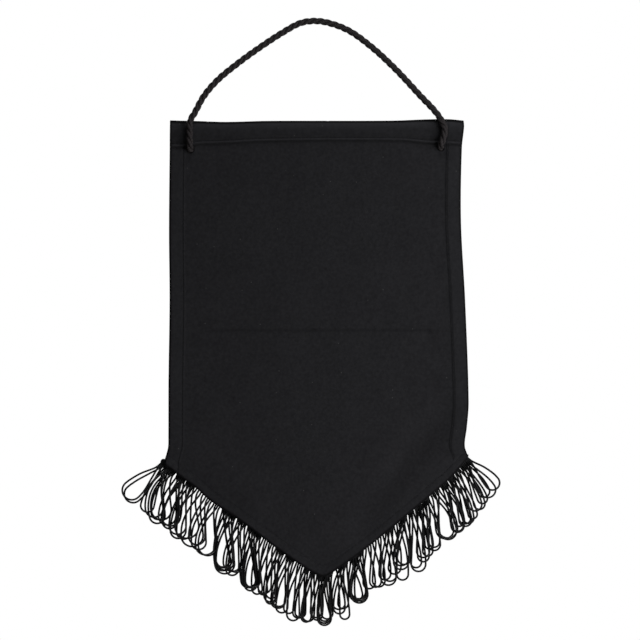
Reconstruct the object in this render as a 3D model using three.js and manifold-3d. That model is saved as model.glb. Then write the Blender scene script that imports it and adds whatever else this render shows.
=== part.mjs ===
// A black felt-cotton wall banner: one pointed cloth with turned hems and a folded-over top band, a twisted
// hanging cord with a stopper knot behind each end, and a fringe of looped yarn on a tape behind the lower hem.
// Millimetres, +Z up, +X to the right as seen from the front, the front facing -Y. The origin is the underside
// of the hanging cord at its highest point, where a hook or nail holds it.

import * as THREE from "three";
import { mergeVertices } from "three/addons/utils/BufferGeometryUtils.js";
import Module from "manifold-3d";

const wasm = await Module();
wasm.setup();

// Driving sizes
const GAP = 0.35; // between pieces that touch
const CLOTH = { thickness: 1.3, edgeThickness: 0.7, edgeRound: 1.1, edgeBulge: 0.25 };
const SIDE_HEM = { width: 10.8, raise: 0.85, slope: 0.8, stitchInset: 1, stitchDepth: 0.6, fadeAbove: 5 };
const LOWER_HEM = { width: 9, turned: 0.7, roll: 0.5, lean: 37 };
const BAND = { endExtra: 0.3, endSlot: 1.4, lipDrop: 0.5, endRound: 0.3 };
const CURL = { from: 62, leftReach: 2.2, rightReach: 3.2, startZ: -100, fullZ: -345 };
const CORNER_Z = { left: -345.5, right: -339.5 };
const CREASE = { top: -235, line: -239.6, bottom: -244 };

// Outline of the cloth as it hangs. Both sides bow a little and flare at their lower corners, and the right
// corner is drawn up.
const LEFT_SIDE = [
  { z: -349, x: -117.8 },
  { z: -341.5, x: -117.5 },
  { z: -336.5, x: -116.1 },
  { z: -331, x: -114.8 },
  { z: -322, x: -114.6 },
  { z: -279, x: -114.5 },
  { z: -216, x: -113.7 },
  { z: -160, x: -114.2 },
  { z: -76, x: -113.4 },
];
const RIGHT_SIDE = [
  { z: -349, x: 119.4 },
  { z: -338.6, x: 119.8 },
  { z: -334.5, x: 118.4 },
  { z: -331, x: 117.3 },
  { z: -326, x: 117.3 },
  { z: -316, x: 118.8 },
  { z: -295, x: 120.3 },
  { z: -216, x: 117.6 },
  { z: -154, x: 114.4 },
  { z: -97, x: 115.1 },
  { z: -80, x: 116.8 },
  { z: -75, x: 116.4 },
];
const TOP_EDGE = [
  { x: -113, z: -75.4 },
  { x: -92, z: -75.9 },
  { x: -70, z: -76.6 },
  { x: -36, z: -76.3 },
  { x: 60, z: -75.9 },
  { x: 88, z: -74.6 },
  { x: 105, z: -74.5 },
  { x: 117, z: -75.6 },
];
const LOWER_EDGE = [
  { x: -117.6, z: -345.6 },
  { x: -113, z: -348.4 },
  { x: -104, z: -355.4 },
  { x: -92, z: -364.1 },
  { x: -81.8, z: -373.2 },
  { x: -59.1, z: -388.6 },
  { x: -27, z: -412.6 },
  { x: -5.9, z: -427.2 },
  { x: 1.5, z: -431.4 },
  { x: 6.2, z: -432.9 },
  { x: 11, z: -431.2 },
  { x: 30.1, z: -418.2 },
  { x: 56, z: -398 },
  { x: 79.5, z: -378.4 },
  { x: 100.6, z: -360.6 },
  { x: 106.8, z: -354.6 },
  { x: 112, z: -348.8 },
  { x: 116.4, z: -343.6 },
  { x: 119.4, z: -340 },
];

// How deep the folded-over top band is along its width: drawn down at both ends by the cord.
const BAND_DEPTH = [
  { x: -113, depth: 20.4 },
  { x: -102, depth: 20.1 },
  { x: -97.5, depth: 18.9 },
  { x: -88, depth: 17.4 },
  { x: -45, depth: 16.2 },
  { x: 65, depth: 16 },
  { x: 90, depth: 18.4 },
  { x: 117, depth: 18.9 },
];
// The band's section from its fold at the top to the stitched lip, as offsets from the middle of the cloth.
const BAND_SECTION = [
  { share: 0, front: 2.1, back: -0.7 },
  { share: 0.06, front: 3.1, back: 0.5 },
  { share: 0.25, front: 3.8, back: 1.1 },
  { share: 0.6, front: 3.6, back: 1.15 },
  { share: 0.86, front: 2.3, back: 0.85 },
  { share: 0.93, front: 2.7, back: 0.8 },
  { share: 1, front: 2.4, back: 0.75 },
];
// Soft creases and swells of the cloth, each along a line. Push is towards the back, so a swell is negative.
const FOLDS = [
  { name: "crease left", x0: -76, z0: -239.6, x1: -8, z1: -239.4, width: 5, push: 0.5 },
  { name: "crease right", x0: 28, z0: -239.8, x1: 62, z1: -240.2, width: 5, push: 0.5 },
  { name: "trough", x0: 100, z0: -302, x1: 36, z1: -388, width: 18, push: 1.5 },
  { name: "tip", x0: 2, z0: -421, x1: 8, z1: -421, width: 22, push: 0.9 },
  { name: "left swell", x0: -98, z0: -330, x1: -48, z1: -372, width: 24, push: -0.9 },
  { name: "right swell", x0: 108, z0: -330, x1: 66, z1: -372, width: 22, push: -1.1 },
];

// Hanging cord: three strands laid together
const CORD = { radius: 2.35, pitch: 17, stepsPerTurn: 8, valley: 0.66, shoulder: 0.97, shoulderAngle: 24 };
const CORD_HOLE = { radius: 2.95, sides: 12, leftX: -97.5, leftZ: -98.35, rightX: 98.6, rightZ: -96.7 };
// The cord's centre line from behind the left end of the band, over the hook and back to the right end
const CORD_ROUTE = [
  { x: -97.5, y: 1, z: -98.15 },
  { x: -97.5, y: -0.9, z: -98.15 },
  { x: -97.5, y: -3.7, z: -97.4 },
  { x: -97.6, y: -5.8, z: -95.3 },
  { x: -97.7, y: -6.7, z: -91.8 },
  { x: -97.8, y: -6.8, z: -84 },
  { x: -97.4, y: -6.6, z: -76.5 },
  { x: -93.5, y: -5.9, z: -69.2 },
  { x: -86.7, y: -5.1, z: -56.7 },
  { x: -76.1, y: -4.3, z: -44.2 },
  { x: -61, y: -3.6, z: -31.6 },
  { x: -44.2, y: -3, z: -19.3 },
  { x: -25.4, y: -2.4, z: -6.9 },
  { x: -11.5, y: -2.1, z: 0.6 },
  { x: -1, y: -2, z: 2.3 },
  { x: 9.5, y: -2.1, z: 1.1 },
  { x: 26.2, y: -2.4, z: -5.1 },
  { x: 45, y: -3, z: -18.7 },
  { x: 63.8, y: -3.7, z: -36.3 },
  { x: 82.6, y: -4.6, z: -56.6 },
  { x: 93.7, y: -5.6, z: -68.4 },
  { x: 98.7, y: -6.4, z: -75.6 },
  { x: 101.3, y: -6.8, z: -82 },
  { x: 100.7, y: -6.8, z: -88.4 },
  { x: 99.1, y: -6, z: -93.2 },
  { x: 98.6, y: -3.8, z: -95.7 },
  { x: 98.6, y: -0.9, z: -96.5 },
  { x: 98.6, y: 1, z: -96.5 },
];
const KNOT = { ring: 4, strand: 1.9, around: 42, sides: 6, neck: 2.1, tail: 2, tailLength: 17, tailTurn: 14 };

// Fringe: a tape behind the lower hem with uncut loops of thin yarn hanging from it
const TAPE = { thickness: 1.2, gap: 0.6, rootDepth: 2, step: 9 };
// The tape's lower and upper edges above the lower hem, by place: its left end curls out past the cloth.
const TAPE_EDGES = [
  { x: -121.2, low: 0.2, high: 2.4 },
  { x: -117, low: 0.6, high: 5 },
  { x: -111, low: 1.6, high: 9 },
  { x: -100, low: 1.8, high: 9.4 },
  { x: 104, low: 1.8, high: 9.4 },
  { x: 112, low: 1.8, high: 8.6 },
  { x: 117, low: 1.4, high: 6 },
  { x: 120.2, low: 0.6, high: 2.2 },
];
const YARN = { radius: 0.6, sides: 3, bottomSteps: 4, layers: 8, layerStride: 3, layerGap: 1.5 };
// A loop's legs leave the tape close together. Those of the front layers pass behind the hem first, and the
// others step into their layer at once. Then both legs open out into the loop.
const LEG = {
  frontClear: 3,
  backClear: 0.5,
  stepLength: 5,
  turnLength: 12,
  openFrom: 4,
  open: 1.15,
  stations: [3, 8, 19],
};
// Bunches of loops from left to right: the stretch of hem they leave from, the place where the longest of them
// ends, how far their middles bow to the right, their width, how far their ends draw together (1 keeps the
// spacing of their roots), and how much single loops stray from them.
const BUNCHES = [
  { from: -120.8, to: -117.2, loops: 2, x: -148.5, z: -371, bow: 0, width: 15.5, gather: 0.7, stray: 0.6 },
  { from: -116.9, to: -115.4, loops: 1, x: -132.5, z: -382.3, bow: -2.5, width: 10.5, gather: 1, stray: 0 },
  { from: -115, to: -108, loops: 4, x: -121.5, z: -391, bow: -6.5, width: 13, gather: 0.5, stray: 1 },
  { from: -107.5, to: -100.5, loops: 4, x: -114.5, z: -394, bow: -2, width: 13, gather: 0.5, stray: 0.8 },
  { from: -100, to: -93, loops: 3, x: -106, z: -403.5, bow: -3.5, width: 12.5, gather: 0.9, stray: 0.8 },
  { from: -92.5, to: -86, loops: 2, x: -97.5, z: -408, bow: -4.5, width: 16, gather: 0.8, stray: 0.8 },
  { from: -85.5, to: -79.5, loops: 2, x: -90.5, z: -411, bow: -4, width: 13, gather: 1, stray: 0.8 },
  { from: -79, to: -73, loops: 2, x: -84, z: -418, bow: -4, width: 14, gather: 1, stray: 0.6 },
  { from: -72.5, to: -61, loops: 5, x: -70.5, z: -428.5, bow: -3, width: 13, gather: 0.25, stray: 0.8 },
  { from: -60.5, to: -53, loops: 3, x: -64, z: -431.8, bow: -2, width: 11.5, gather: 0.4, stray: 1 },
  { from: -52.5, to: -41, loops: 5, x: -49.5, z: -443, bow: -3, width: 11.5, gather: 0.25, stray: 0.7 },
  { from: -40.5, to: -31, loops: 3, x: -41.5, z: -449, bow: -2.5, width: 9, gather: 0.7, stray: 1 },
  { from: -30.5, to: -23, loops: 3, x: -34.5, z: -453.6, bow: -2.5, width: 9.5, gather: 0.6, stray: 1 },
  { from: -22.5, to: -15, loops: 3, x: -28, z: -460, bow: -2.5, width: 10, gather: 0.5, stray: 0.9 },
  { from: -14.5, to: -8.5, loops: 2, x: -19, z: -464.8, bow: -2, width: 9, gather: 0.9, stray: 0.6 },
  { from: -8, to: -3.8, loops: 2, x: -12, z: -466.6, bow: -1.5, width: 8.5, gather: 1, stray: 0.4 },
  { from: -3.4, to: 0.8, loops: 2, x: -6, z: -468.6, bow: -1, width: 8.5, gather: 1, stray: 0.4 },
  { from: 1.2, to: 6, loops: 2, x: 1, z: -467, bow: 0, width: 8.5, gather: 0.8, stray: 0.7 },
  { from: 6.5, to: 15, loops: 4, x: 8.7, z: -469.8, bow: -2, width: 9.5, gather: 0.3, stray: 0.7 },
  { from: 15.5, to: 19, loops: 1, x: 23.5, z: -466, bow: 1.5, width: 7.5, gather: 0.6, stray: 0 },
  { from: 19.4, to: 26.5, loops: 3, x: 20, z: -460, bow: -1.5, width: 8.5, gather: 0.5, stray: 0.8 },
  { from: 27, to: 38.5, loops: 5, x: 35, z: -453.2, bow: -0.5, width: 11.5, gather: 0.25, stray: 0.8 },
  { from: 39, to: 46, loops: 2, x: 45, z: -442, bow: 0.5, width: 8.5, gather: 1, stray: 0.6 },
  { from: 46.5, to: 54, loops: 2, x: 52, z: -439.8, bow: 1, width: 10, gather: 1, stray: 0.6 },
  { from: 54.5, to: 62.5, loops: 3, x: 59.5, z: -437.4, bow: 1, width: 10, gather: 0.8, stray: 0.9 },
  { from: 63, to: 66, loops: 1, x: 68.5, z: -435.2, bow: 1.5, width: 9, gather: 1, stray: 0 },
  { from: 66.5, to: 72, loops: 3, x: 67, z: -426, bow: 1, width: 11, gather: 0.6, stray: 0.7 },
  { from: 72.5, to: 77, loops: 2, x: 80.8, z: -428.6, bow: 2, width: 9.5, gather: 1, stray: 0.8 },
  { from: 77.5, to: 83, loops: 3, x: 86, z: -419.6, bow: 1.5, width: 9, gather: 0.8, stray: 1 },
  { from: 83.5, to: 89, loops: 3, x: 92, z: -412.8, bow: 1.5, width: 8.5, gather: 0.8, stray: 1 },
  { from: 89.5, to: 97, loops: 3, x: 104.5, z: -403.8, bow: 2.5, width: 14.5, gather: 0.25, stray: 0.4 },
  { from: 97.5, to: 103, loops: 3, x: 112.5, z: -397.8, bow: 2.5, width: 10, gather: 0.4, stray: 0.8 },
  { from: 103.5, to: 108.2, loops: 3, x: 119.3, z: -391.8, bow: 2.5, width: 9, gather: 0.7, stray: 0.7 },
  { from: 108.6, to: 112.4, loops: 2, x: 126, z: -385.8, bow: 2.5, width: 9, gather: 0.9, stray: 1 },
  { from: 112.8, to: 115.6, loops: 2, x: 131, z: -378.6, bow: 2, width: 8.5, gather: 1, stray: 1 },
  { from: 116, to: 119.8, loops: 3, x: 142.5, z: -366.4, bow: 3, width: 12, gather: 0.7, stray: 0.7 },
];
// How far a loop strays at most: shares of length and width, and millimetres along the hem and of bow
const STRAY = { length: 0.07, width: 0.24, along: 2.2, bow: 1.2 };

const mix = (a, b, share) => a + (b - a) * share;
const soft = (share) => {
  const t = Math.min(Math.max(share, 0), 1);
  return t * t * (3 - 2 * t);
};
const radians = THREE.MathUtils.degToRad;

// How far loop i strays in one quality: a number that looks random but is the same each time.
function stray(i, quality) {
  const stride = { length: 0.618034, width: 0.754878, along: 0.56984, bow: 0.4142 }[quality];
  return STRAY[quality] * (2 * ((i * stride + 0.37) % 1) - 1);
}

// The value that a table gives at a place, on a smooth line through its rows that runs on straight past them.
function along(rows, key, value, at) {
  const last = rows.length - 1;
  const slope = (i) => {
    const before = rows[Math.max(i - 1, 0)];
    const after = rows[Math.min(i + 1, last)];
    return (after[value] - before[value]) / (after[key] - before[key]);
  };
  if (at <= rows[0][key]) return rows[0][value] + slope(0) * (at - rows[0][key]);
  if (at >= rows[last][key]) return rows[last][value] + slope(last) * (at - rows[last][key]);
  const i = rows.findIndex((row) => row[key] > at) - 1;
  const span = rows[i + 1][key] - rows[i][key];
  const t = (at - rows[i][key]) / span;
  const level = mix(rows[i][value], rows[i + 1][value], soft(t));
  return level + span * t * (1 - t) * (slope(i) * (1 - t) - slope(i + 1) * t);
}

const leftSide = (z) => along(LEFT_SIDE, "z", "x", z);
const rightSide = (z) => along(RIGHT_SIDE, "z", "x", z);
const topEdge = (x) => along(TOP_EDGE, "x", "z", x);
const lowerEdge = (x) => along(LOWER_EDGE, "x", "z", x);
const bandDepth = (x) => along(BAND_DEPTH, "x", "depth", x);

// How far the cloth's middle lies behind the plane y = 0: its creases, swells and the forward curl of its
// sides.
function drift(x, z) {
  const reach = x < 0 ? CURL.leftReach : CURL.rightReach;
  const out = Math.max(Math.abs(x) - CURL.from, 0) / (rightSide(CORNER_Z.right) - CURL.from);
  const low = soft((CURL.startZ - z) / (CURL.startZ - CURL.fullZ));
  let y = -reach * out * out * low;
  for (const fold of FOLDS) {
    const line = new THREE.Vector2(fold.x1 - fold.x0, fold.z1 - fold.z0);
    const from = new THREE.Vector2(x - fold.x0, z - fold.z0);
    const share = Math.min(Math.max(from.dot(line) / line.lengthSq(), 0), 1);
    const away = from.sub(line.multiplyScalar(share)).length();
    y += fold.push * soft(1 - away / fold.width);
  }
  return y;
}

// Solids from meshes, and meshes from solids
function solidOf(geometry) {
  const bare = geometry.clone();
  bare.deleteAttribute("normal");
  bare.deleteAttribute("uv");
  const merged = mergeVertices(bare, 1e-4);
  const vertProperties = new Float32Array(merged.attributes.position.array);
  const triVerts = new Uint32Array(merged.index.array);
  return new wasm.Manifold(new wasm.Mesh({ numProp: 3, vertProperties, triVerts }));
}

function geometryOf(solid) {
  const mesh = solid.getMesh();
  return geometryFrom(mesh.vertProperties, mesh.triVerts);
}

function geometryFrom(positions, faces) {
  const geometry = new THREE.BufferGeometry();
  geometry.setAttribute("position", new THREE.Float32BufferAttribute(positions, 3));
  geometry.setIndex(Array.from(faces));
  geometry.computeVertexNormals();
  return geometry;
}

// A closed bar along a path: ringAt gives the section's corners at each step as {side, up}, turning one way.
function sweep(path, firstSide, ringAt) {
  const positions = [];
  const faces = [];
  const side = firstSide.clone();
  const last = path.length - 1;
  let corners = 0;
  path.forEach((point, i) => {
    const ahead = path[Math.min(i + 1, last)].clone().sub(path[Math.max(i - 1, 0)]).normalize();
    side.addScaledVector(ahead, -side.dot(ahead)).normalize();
    const up = ahead.clone().cross(side);
    const ring = ringAt(i);
    corners = ring.length;
    for (const corner of ring) {
      const place = point.clone().addScaledVector(side, corner.side).addScaledVector(up, corner.up);
      positions.push(place.x, place.y, place.z);
    }
  });
  for (let i = 0; i < last; i++) {
    for (let k = 0; k < corners; k++) {
      const [a, b] = [i * corners + k, i * corners + ((k + 1) % corners)];
      faces.push(a, b, b + corners, a, b + corners, a + corners);
    }
  }
  for (let k = 1; k < corners - 1; k++) {
    const end = last * corners;
    faces.push(0, k + 1, k, end, end + k, end + k + 1);
  }
  return geometryFrom(positions, faces);
}

// The cloth: columns across, each at a distance from one side or at a share of the width between the hems
const hemInsets = [
  CLOTH.edgeBulge,
  CLOTH.edgeRound,
  SIDE_HEM.width - SIDE_HEM.stitchInset,
  SIDE_HEM.width,
  SIDE_HEM.width + SIDE_HEM.slope,
];
const middleColumns = 14;
const columns = [
  ...hemInsets.map((inset) => ({ fromLeft: inset })),
  ...Array.from({ length: middleColumns }, (_, i) => ({ share: (i + 1) / (middleColumns + 1) })),
  ...hemInsets.toReversed().map((inset) => ({ fromRight: inset })),
];
// Rows downwards: through the band, at fixed levels to the crease, then in shares of the way to the lower hem
const rows = [
  ...BAND_SECTION.map((section) => ({ band: section })),
  { underBand: BAND.lipDrop },
  ...[-125, -170, -215, CREASE.top, CREASE.line, CREASE.bottom].map((z) => ({ level: z })),
  ...[0.17, 0.34, 0.5, 0.65, 0.79, 0.9, 1].map((share) => ({ share })),
  ...[0.55, CLOTH.edgeRound / LOWER_HEM.width, 0].map((share) => ({ hemShare: share })),
];

function columnX(column, z) {
  const [left, right] = [leftSide(z), rightSide(z)];
  if ("fromLeft" in column) return left + column.fromLeft;
  if ("fromRight" in column) return right - column.fromRight;
  const hem = hemInsets.at(-1);
  return mix(left + hem, right - hem, column.share);
}

const hemRise = LOWER_HEM.width / Math.cos(radians(LOWER_HEM.lean));

function rowZ(row, x) {
  if ("band" in row) return topEdge(x) - CLOTH.edgeBulge - row.band.share * bandDepth(x);
  if ("underBand" in row) return topEdge(x) - bandDepth(x) - row.underBand;
  if ("level" in row) return row.level;
  if ("share" in row) return mix(CREASE.bottom, lowerEdge(x) + hemRise, row.share);
  return lowerEdge(x) + CLOTH.edgeBulge / Math.cos(radians(LOWER_HEM.lean)) + row.hemShare * hemRise;
}

// How far the cloth's two faces stand from its middle, at one crossing of a row and a column
function facesAt(row, column, x, z) {
  const inset = column.fromLeft ?? column.fromRight ?? Infinity;
  const half = CLOTH.thickness / 2;
  if ("band" in row) {
    const end = inset < hemInsets.at(-1) ? BAND.endExtra : 0;
    const round = inset === CLOTH.edgeBulge ? BAND.endRound : 0;
    return { front: row.band.front + end - round, back: row.band.back - round };
  }
  if (inset === CLOTH.edgeBulge || row.hemShare === 0) {
    const edge = CLOTH.edgeThickness / 2;
    return { front: edge + ("hemShare" in row ? 0 : SIDE_HEM.raise / 2), back: edge };
  }
  const fade = soft((z - (x < 0 ? CORNER_Z.left : CORNER_Z.right)) / SIDE_HEM.fadeAbove);
  const onHem = inset < SIDE_HEM.width;
  const stitched = inset === SIDE_HEM.width - SIDE_HEM.stitchInset ? SIDE_HEM.stitchDepth : 0;
  const raise = onHem ? (SIDE_HEM.raise - stitched) * fade : 0;
  const roll = "hemShare" in row ? LOWER_HEM.roll * soft(1 - row.hemShare) : 0;
  const turned = "hemShare" in row ? LOWER_HEM.turned : 0;
  return { front: half + raise + roll, back: half + turned };
}

function buildCloth() {
  const grid = rows.map((row) =>
    columns.map((column) => {
      const z = rowZ(row, columnX(column, CORNER_Z.left));
      const x = columnX(column, Math.max(z, CORNER_Z.left));
      const level = rowZ(row, x);
      const faces = facesAt(row, column, x, level);
      const middle = drift(x, level);
      return { row, column, x, z: level, front: middle - faces.front, back: middle + faces.back };
    }),
  );
  const [lastRow, lastColumn] = [rows.length - 1, columns.length - 1];
  const across = columns.length;
  const count = rows.length * across;
  const positions = grid.flat().flatMap((p) => [p.x, p.front, p.z]);
  positions.push(...grid.flat().flatMap((p) => [p.x, p.back, p.z]));
  const faces = [];
  for (let r = 0; r < lastRow; r++) {
    for (let c = 0; c < lastColumn; c++) {
      const [a, b] = [r * across + c, r * across + c + 1];
      const [d, e] = [a + across, b + across];
      faces.push(a, e, b, a, d, e);
      faces.push(count + a, count + b, count + e, count + a, count + e, count + d);
    }
  }
  // The outline once round, clockwise as seen from the front
  const outline = [];
  for (let c = 0; c < lastColumn; c++) outline.push([0, c]);
  for (let r = 0; r < lastRow; r++) outline.push([r, lastColumn]);
  for (let c = lastColumn; c > 0; c--) outline.push([lastRow, c]);
  for (let r = lastRow; r > 0; r--) outline.push([r, 0]);
  const rim = outline.length;
  outline.forEach(([r, c], i) => {
    const here = grid[r][c];
    const [rBefore, cBefore] = outline[(i + rim - 1) % rim];
    const [rAfter, cAfter] = outline[(i + 1) % rim];
    const [before, after] = [grid[rBefore][cBefore], grid[rAfter][cAfter]];
    const out = new THREE.Vector2(before.z - after.z, after.x - before.x).normalize();
    const inBand = "band" in here.row && here.row.band.share > 0 && (c === 0 || c === lastColumn);
    const bulge = inBand ? -BAND.endSlot : CLOTH.edgeBulge;
    const y = (here.front + here.back) / 2;
    positions.push(here.x + out.x * bulge, y, here.z + out.y * bulge);
    const [front, middle] = [r * across + c, 2 * count + i];
    const [frontNext, middleNext] = [rAfter * across + cAfter, 2 * count + ((i + 1) % rim)];
    faces.push(front, frontNext, middleNext, front, middleNext, middle);
    faces.push(middle, middleNext, count + frontNext, middle, count + frontNext, count + front);
  });
  const punch = (x, z) => {
    const cutter = new THREE.CylinderGeometry(CORD_HOLE.radius, CORD_HOLE.radius, 8, CORD_HOLE.sides);
    return solidOf(cutter.translate(x, 0, z));
  };
  return geometryOf(
    solidOf(geometryFrom(positions, faces))
      .subtract(punch(CORD_HOLE.leftX, CORD_HOLE.leftZ))
      .subtract(punch(CORD_HOLE.rightX, CORD_HOLE.rightZ)),
  );
}

// The cord: a three-lobed section that turns as it goes. The strands rise to the right across its front.
function buildCord() {
  const route = new THREE.CatmullRomCurve3(
    CORD_ROUTE.map((p) => new THREE.Vector3(p.x, p.y, p.z)),
    false,
    "centripetal",
  );
  const stepLength = CORD.pitch / CORD.stepsPerTurn;
  const steps = Math.round(route.getLength() / stepLength);
  const lobe = [
    { angle: -CORD.shoulderAngle, reach: CORD.shoulder },
    { angle: CORD.shoulderAngle, reach: CORD.shoulder },
    { angle: 60, reach: CORD.valley },
  ];
  return sweep(route.getSpacedPoints(steps), new THREE.Vector3(1, 0, 0), (i) => {
    const turn = (-360 * i) / CORD.stepsPerTurn;
    return [0, 120, 240].flatMap((start) =>
      lobe.map(({ angle, reach }) => {
        const at = radians(turn + start + angle);
        return { side: CORD.radius * reach * Math.cos(at), up: CORD.radius * reach * Math.sin(at) };
      }),
    );
  });
}

// A stopper knot: one turn of the cord through itself, the neck that comes through the cloth, and a short tail
function buildKnot(holeX, holeZ, tailTurn) {
  const { ring, strand, around, sides, neck, tail, tailLength } = KNOT;
  const front = 1 + GAP;
  const middle = front + ring / 2 + strand;
  const bights = new THREE.TorusKnotGeometry(ring, strand, around, sides, 2, 3).rotateX(Math.PI / 2);
  const neckLength = middle - front;
  const neckBar = new THREE.CylinderGeometry(neck, neck, neckLength, 8).translate(0, -neckLength / 2, 0);
  const tailBar = new THREE.CylinderGeometry(tail, tail, tailLength, 8)
    .rotateX(Math.PI / 2)
    .translate(0, 0, -tailLength / 2)
    .rotateY(radians(tailTurn));
  const knot = solidOf(bights).add(solidOf(neckBar)).add(solidOf(tailBar));
  return geometryOf(knot).translate(holeX, middle, holeZ);
}

// The fringe's tape, a narrow bar behind the turned lower hem
function tapeAt(x) {
  const edge = lowerEdge(x);
  const [low, high] = ["low", "high"].map((name) => edge + along(TAPE_EDGES, "x", name, x));
  const offset = CLOTH.thickness / 2 + LOWER_HEM.turned + TAPE.gap;
  return { low, high, lowY: drift(x, low) + offset, highY: drift(x, high) + offset };
}

function buildTape() {
  const [from, to] = [TAPE_EDGES[0].x, TAPE_EDGES.at(-1).x];
  const tip = LOWER_EDGE.reduce((low, p) => (p.z < low.z ? p : low)).x;
  const places = [];
  for (let x = from; x < tip - TAPE.step / 2; x += TAPE.step) places.push(x);
  for (let x = tip; x < to - TAPE.step / 2; x += TAPE.step) places.push(x);
  places.push(to);
  const positions = [];
  const faces = [];
  places.forEach((x, i) => {
    const { low, high, lowY, highY } = tapeAt(x);
    positions.push(x, lowY, low, x, lowY + TAPE.thickness, low);
    positions.push(x, highY + TAPE.thickness, high, x, highY, high);
    if (i === 0) return;
    for (let k = 0; k < 4; k++) {
      const [a, b] = [4 * i + k, 4 * i + ((k + 1) % 4)];
      faces.push(a - 4, b - 4, b, a - 4, b, a);
    }
  });
  const end = 4 * (places.length - 1);
  faces.push(0, 2, 1, 0, 3, 2, end, end + 1, end + 2, end, end + 2, end + 3);
  return geometryFrom(positions, faces);
}

// Every loop of the fringe as its root, its end, its width and how it bows and swerves
function layLoops() {
  const loops = [];
  for (const bunch of BUNCHES) {
    const pitch = (bunch.to - bunch.from) / bunch.loops;
    const rootAt = (x) => new THREE.Vector2(x, tapeAt(x).low);
    const centre = rootAt((bunch.from + bunch.to) / 2);
    const spareLength = (bunch.stray * STRAY.length) / 2;
    const fall = new THREE.Vector2(bunch.x, bunch.z).sub(centre).multiplyScalar(1 - spareLength);
    for (let j = 0; j < bunch.loops; j++) {
      const i = loops.length;
      const x = bunch.from + (j + 0.5) * pitch;
      const root = rootAt(x);
      const ahead = rootAt(x + pitch / 4).sub(rootAt(x - pitch / 4));
      const end = root.clone().sub(centre).multiplyScalar(bunch.gather).add(centre);
      end.addScaledVector(fall, 1 + bunch.stray * stray(i, "length"));
      end.addScaledVector(ahead.clone().normalize(), bunch.stray * stray(i, "along"));
      const radius = (bunch.width / 2) * (1 + bunch.stray * stray(i, "width"));
      const swerve = bunch.stray * stray(i, "bow");
      const layer = ((i * YARN.layerStride) % YARN.layers) - (YARN.layers - 1) / 2;
      loops.push({ x, root, ahead, end, radius, bow: bunch.bow, swerve, depth: layer * YARN.layerGap });
    }
  }
  return loops;
}

// A loop's centre line: down its left leg, round its end and up its right leg, both ends inside the tape
function loopPath(loop) {
  const chord = loop.end.clone().sub(loop.root);
  const length = chord.length();
  const legLength = length - loop.radius;
  const right = new THREE.Vector2(-chord.y, chord.x).divideScalar(length);
  const hem = loop.ahead.clone().normalize();
  const rootWidth = loop.ahead.length() / 2;
  const tapeY = tapeAt(loop.x).lowY + TAPE.thickness / 2;
  // The bowed middle line between the legs, with its direction and the direction across it
  const middle = (down) => {
    const share = down / length;
    const swell = 4 * share * (1 - share);
    const slope = 4 * (1 - 2 * share) * (loop.bow + 2 * loop.swerve * swell);
    const point = loop.root.clone().addScaledVector(chord, share);
    point.addScaledVector(right, loop.bow * swell + loop.swerve * swell * swell);
    const ahead = chord.clone().addScaledVector(right, slope).normalize();
    return { point, ahead, across: new THREE.Vector2(-ahead.y, ahead.x) };
  };
  const inLayer = (flat, down) => {
    const free = down - (loop.depth < 0 ? LEG.frontClear : LEG.backClear);
    return new THREE.Vector3(flat.x, tapeY + loop.depth * soft(free / LEG.stepLength), flat.y);
  };
  const leg = (side) =>
    [-TAPE.rootDepth, ...LEG.stations].map((down) => {
      const opened = Math.max(down - LEG.openFrom, 0) / (legLength - LEG.openFrom);
      const width = mix(rootWidth, loop.radius, Math.sin((Math.PI / 2) * opened ** LEG.open));
      const { point, across } = middle(down);
      const outward = hem.clone().lerp(across, soft(down / LEG.turnLength));
      return inLayer(point.addScaledVector(outward, side * width), down);
    });
  const bottom = Array.from({ length: YARN.bottomSteps + 1 }, (_, k) => {
    const turn = (Math.PI * k) / YARN.bottomSteps;
    const { point, ahead, across } = middle(legLength);
    point.addScaledVector(across, -loop.radius * Math.cos(turn));
    point.addScaledVector(ahead, loop.radius * Math.sin(turn));
    return inLayer(point, legLength);
  });
  return [...leg(-1), ...bottom, ...leg(1).reverse()];
}

function buildFringe() {
  const ring = Array.from({ length: YARN.sides }, (_, k) => {
    const at = (2 * Math.PI * k) / YARN.sides;
    return { side: YARN.radius * Math.cos(at), up: YARN.radius * Math.sin(at) };
  });
  let fringe = solidOf(buildTape());
  for (const loop of layLoops()) {
    fringe = fringe.add(solidOf(sweep(loopPath(loop), new THREE.Vector3(0, 1, 0), () => ring)));
  }
  return geometryOf(fringe);
}

const feltCotton = new THREE.MeshStandardMaterial({ color: "#1d1d1f", roughness: 0.95, metalness: 0 });
const cordCotton = new THREE.MeshStandardMaterial({ color: "#19191b", roughness: 0.85, metalness: 0 });
const fringeYarn = new THREE.MeshStandardMaterial({ color: "#151517", roughness: 0.8, metalness: 0 });

const banner = new THREE.Group();
const addPiece = (name, geometry, material) => {
  const mesh = new THREE.Mesh(geometry, material);
  mesh.name = name;
  banner.add(mesh);
};
addPiece("panel", buildCloth(), feltCotton);
addPiece("hanging_cord", buildCord(), cordCotton);
addPiece("cord_knot_left", buildKnot(CORD_HOLE.leftX, CORD_HOLE.leftZ, KNOT.tailTurn), cordCotton);
addPiece("cord_knot_right", buildKnot(CORD_HOLE.rightX, CORD_HOLE.rightZ, -KNOT.tailTurn), cordCotton);
addPiece("fringe", buildFringe(), fringeYarn);

export default banner;
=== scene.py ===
"""A wall banner: pointed felt cloth, hanging cord with stopper knots, sewn hems and a fringe of yarn loops.

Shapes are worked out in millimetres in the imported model's frame: the front faces -Y, +Z is up and the origin
is under the hanging cord at its highest point. A mesh is turned into metres when it becomes a piece.
"""

import logging
import math
from dataclasses import dataclass
from enum import Enum
from typing import Callable, NamedTuple

import bpy
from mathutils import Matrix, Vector, noise

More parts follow.
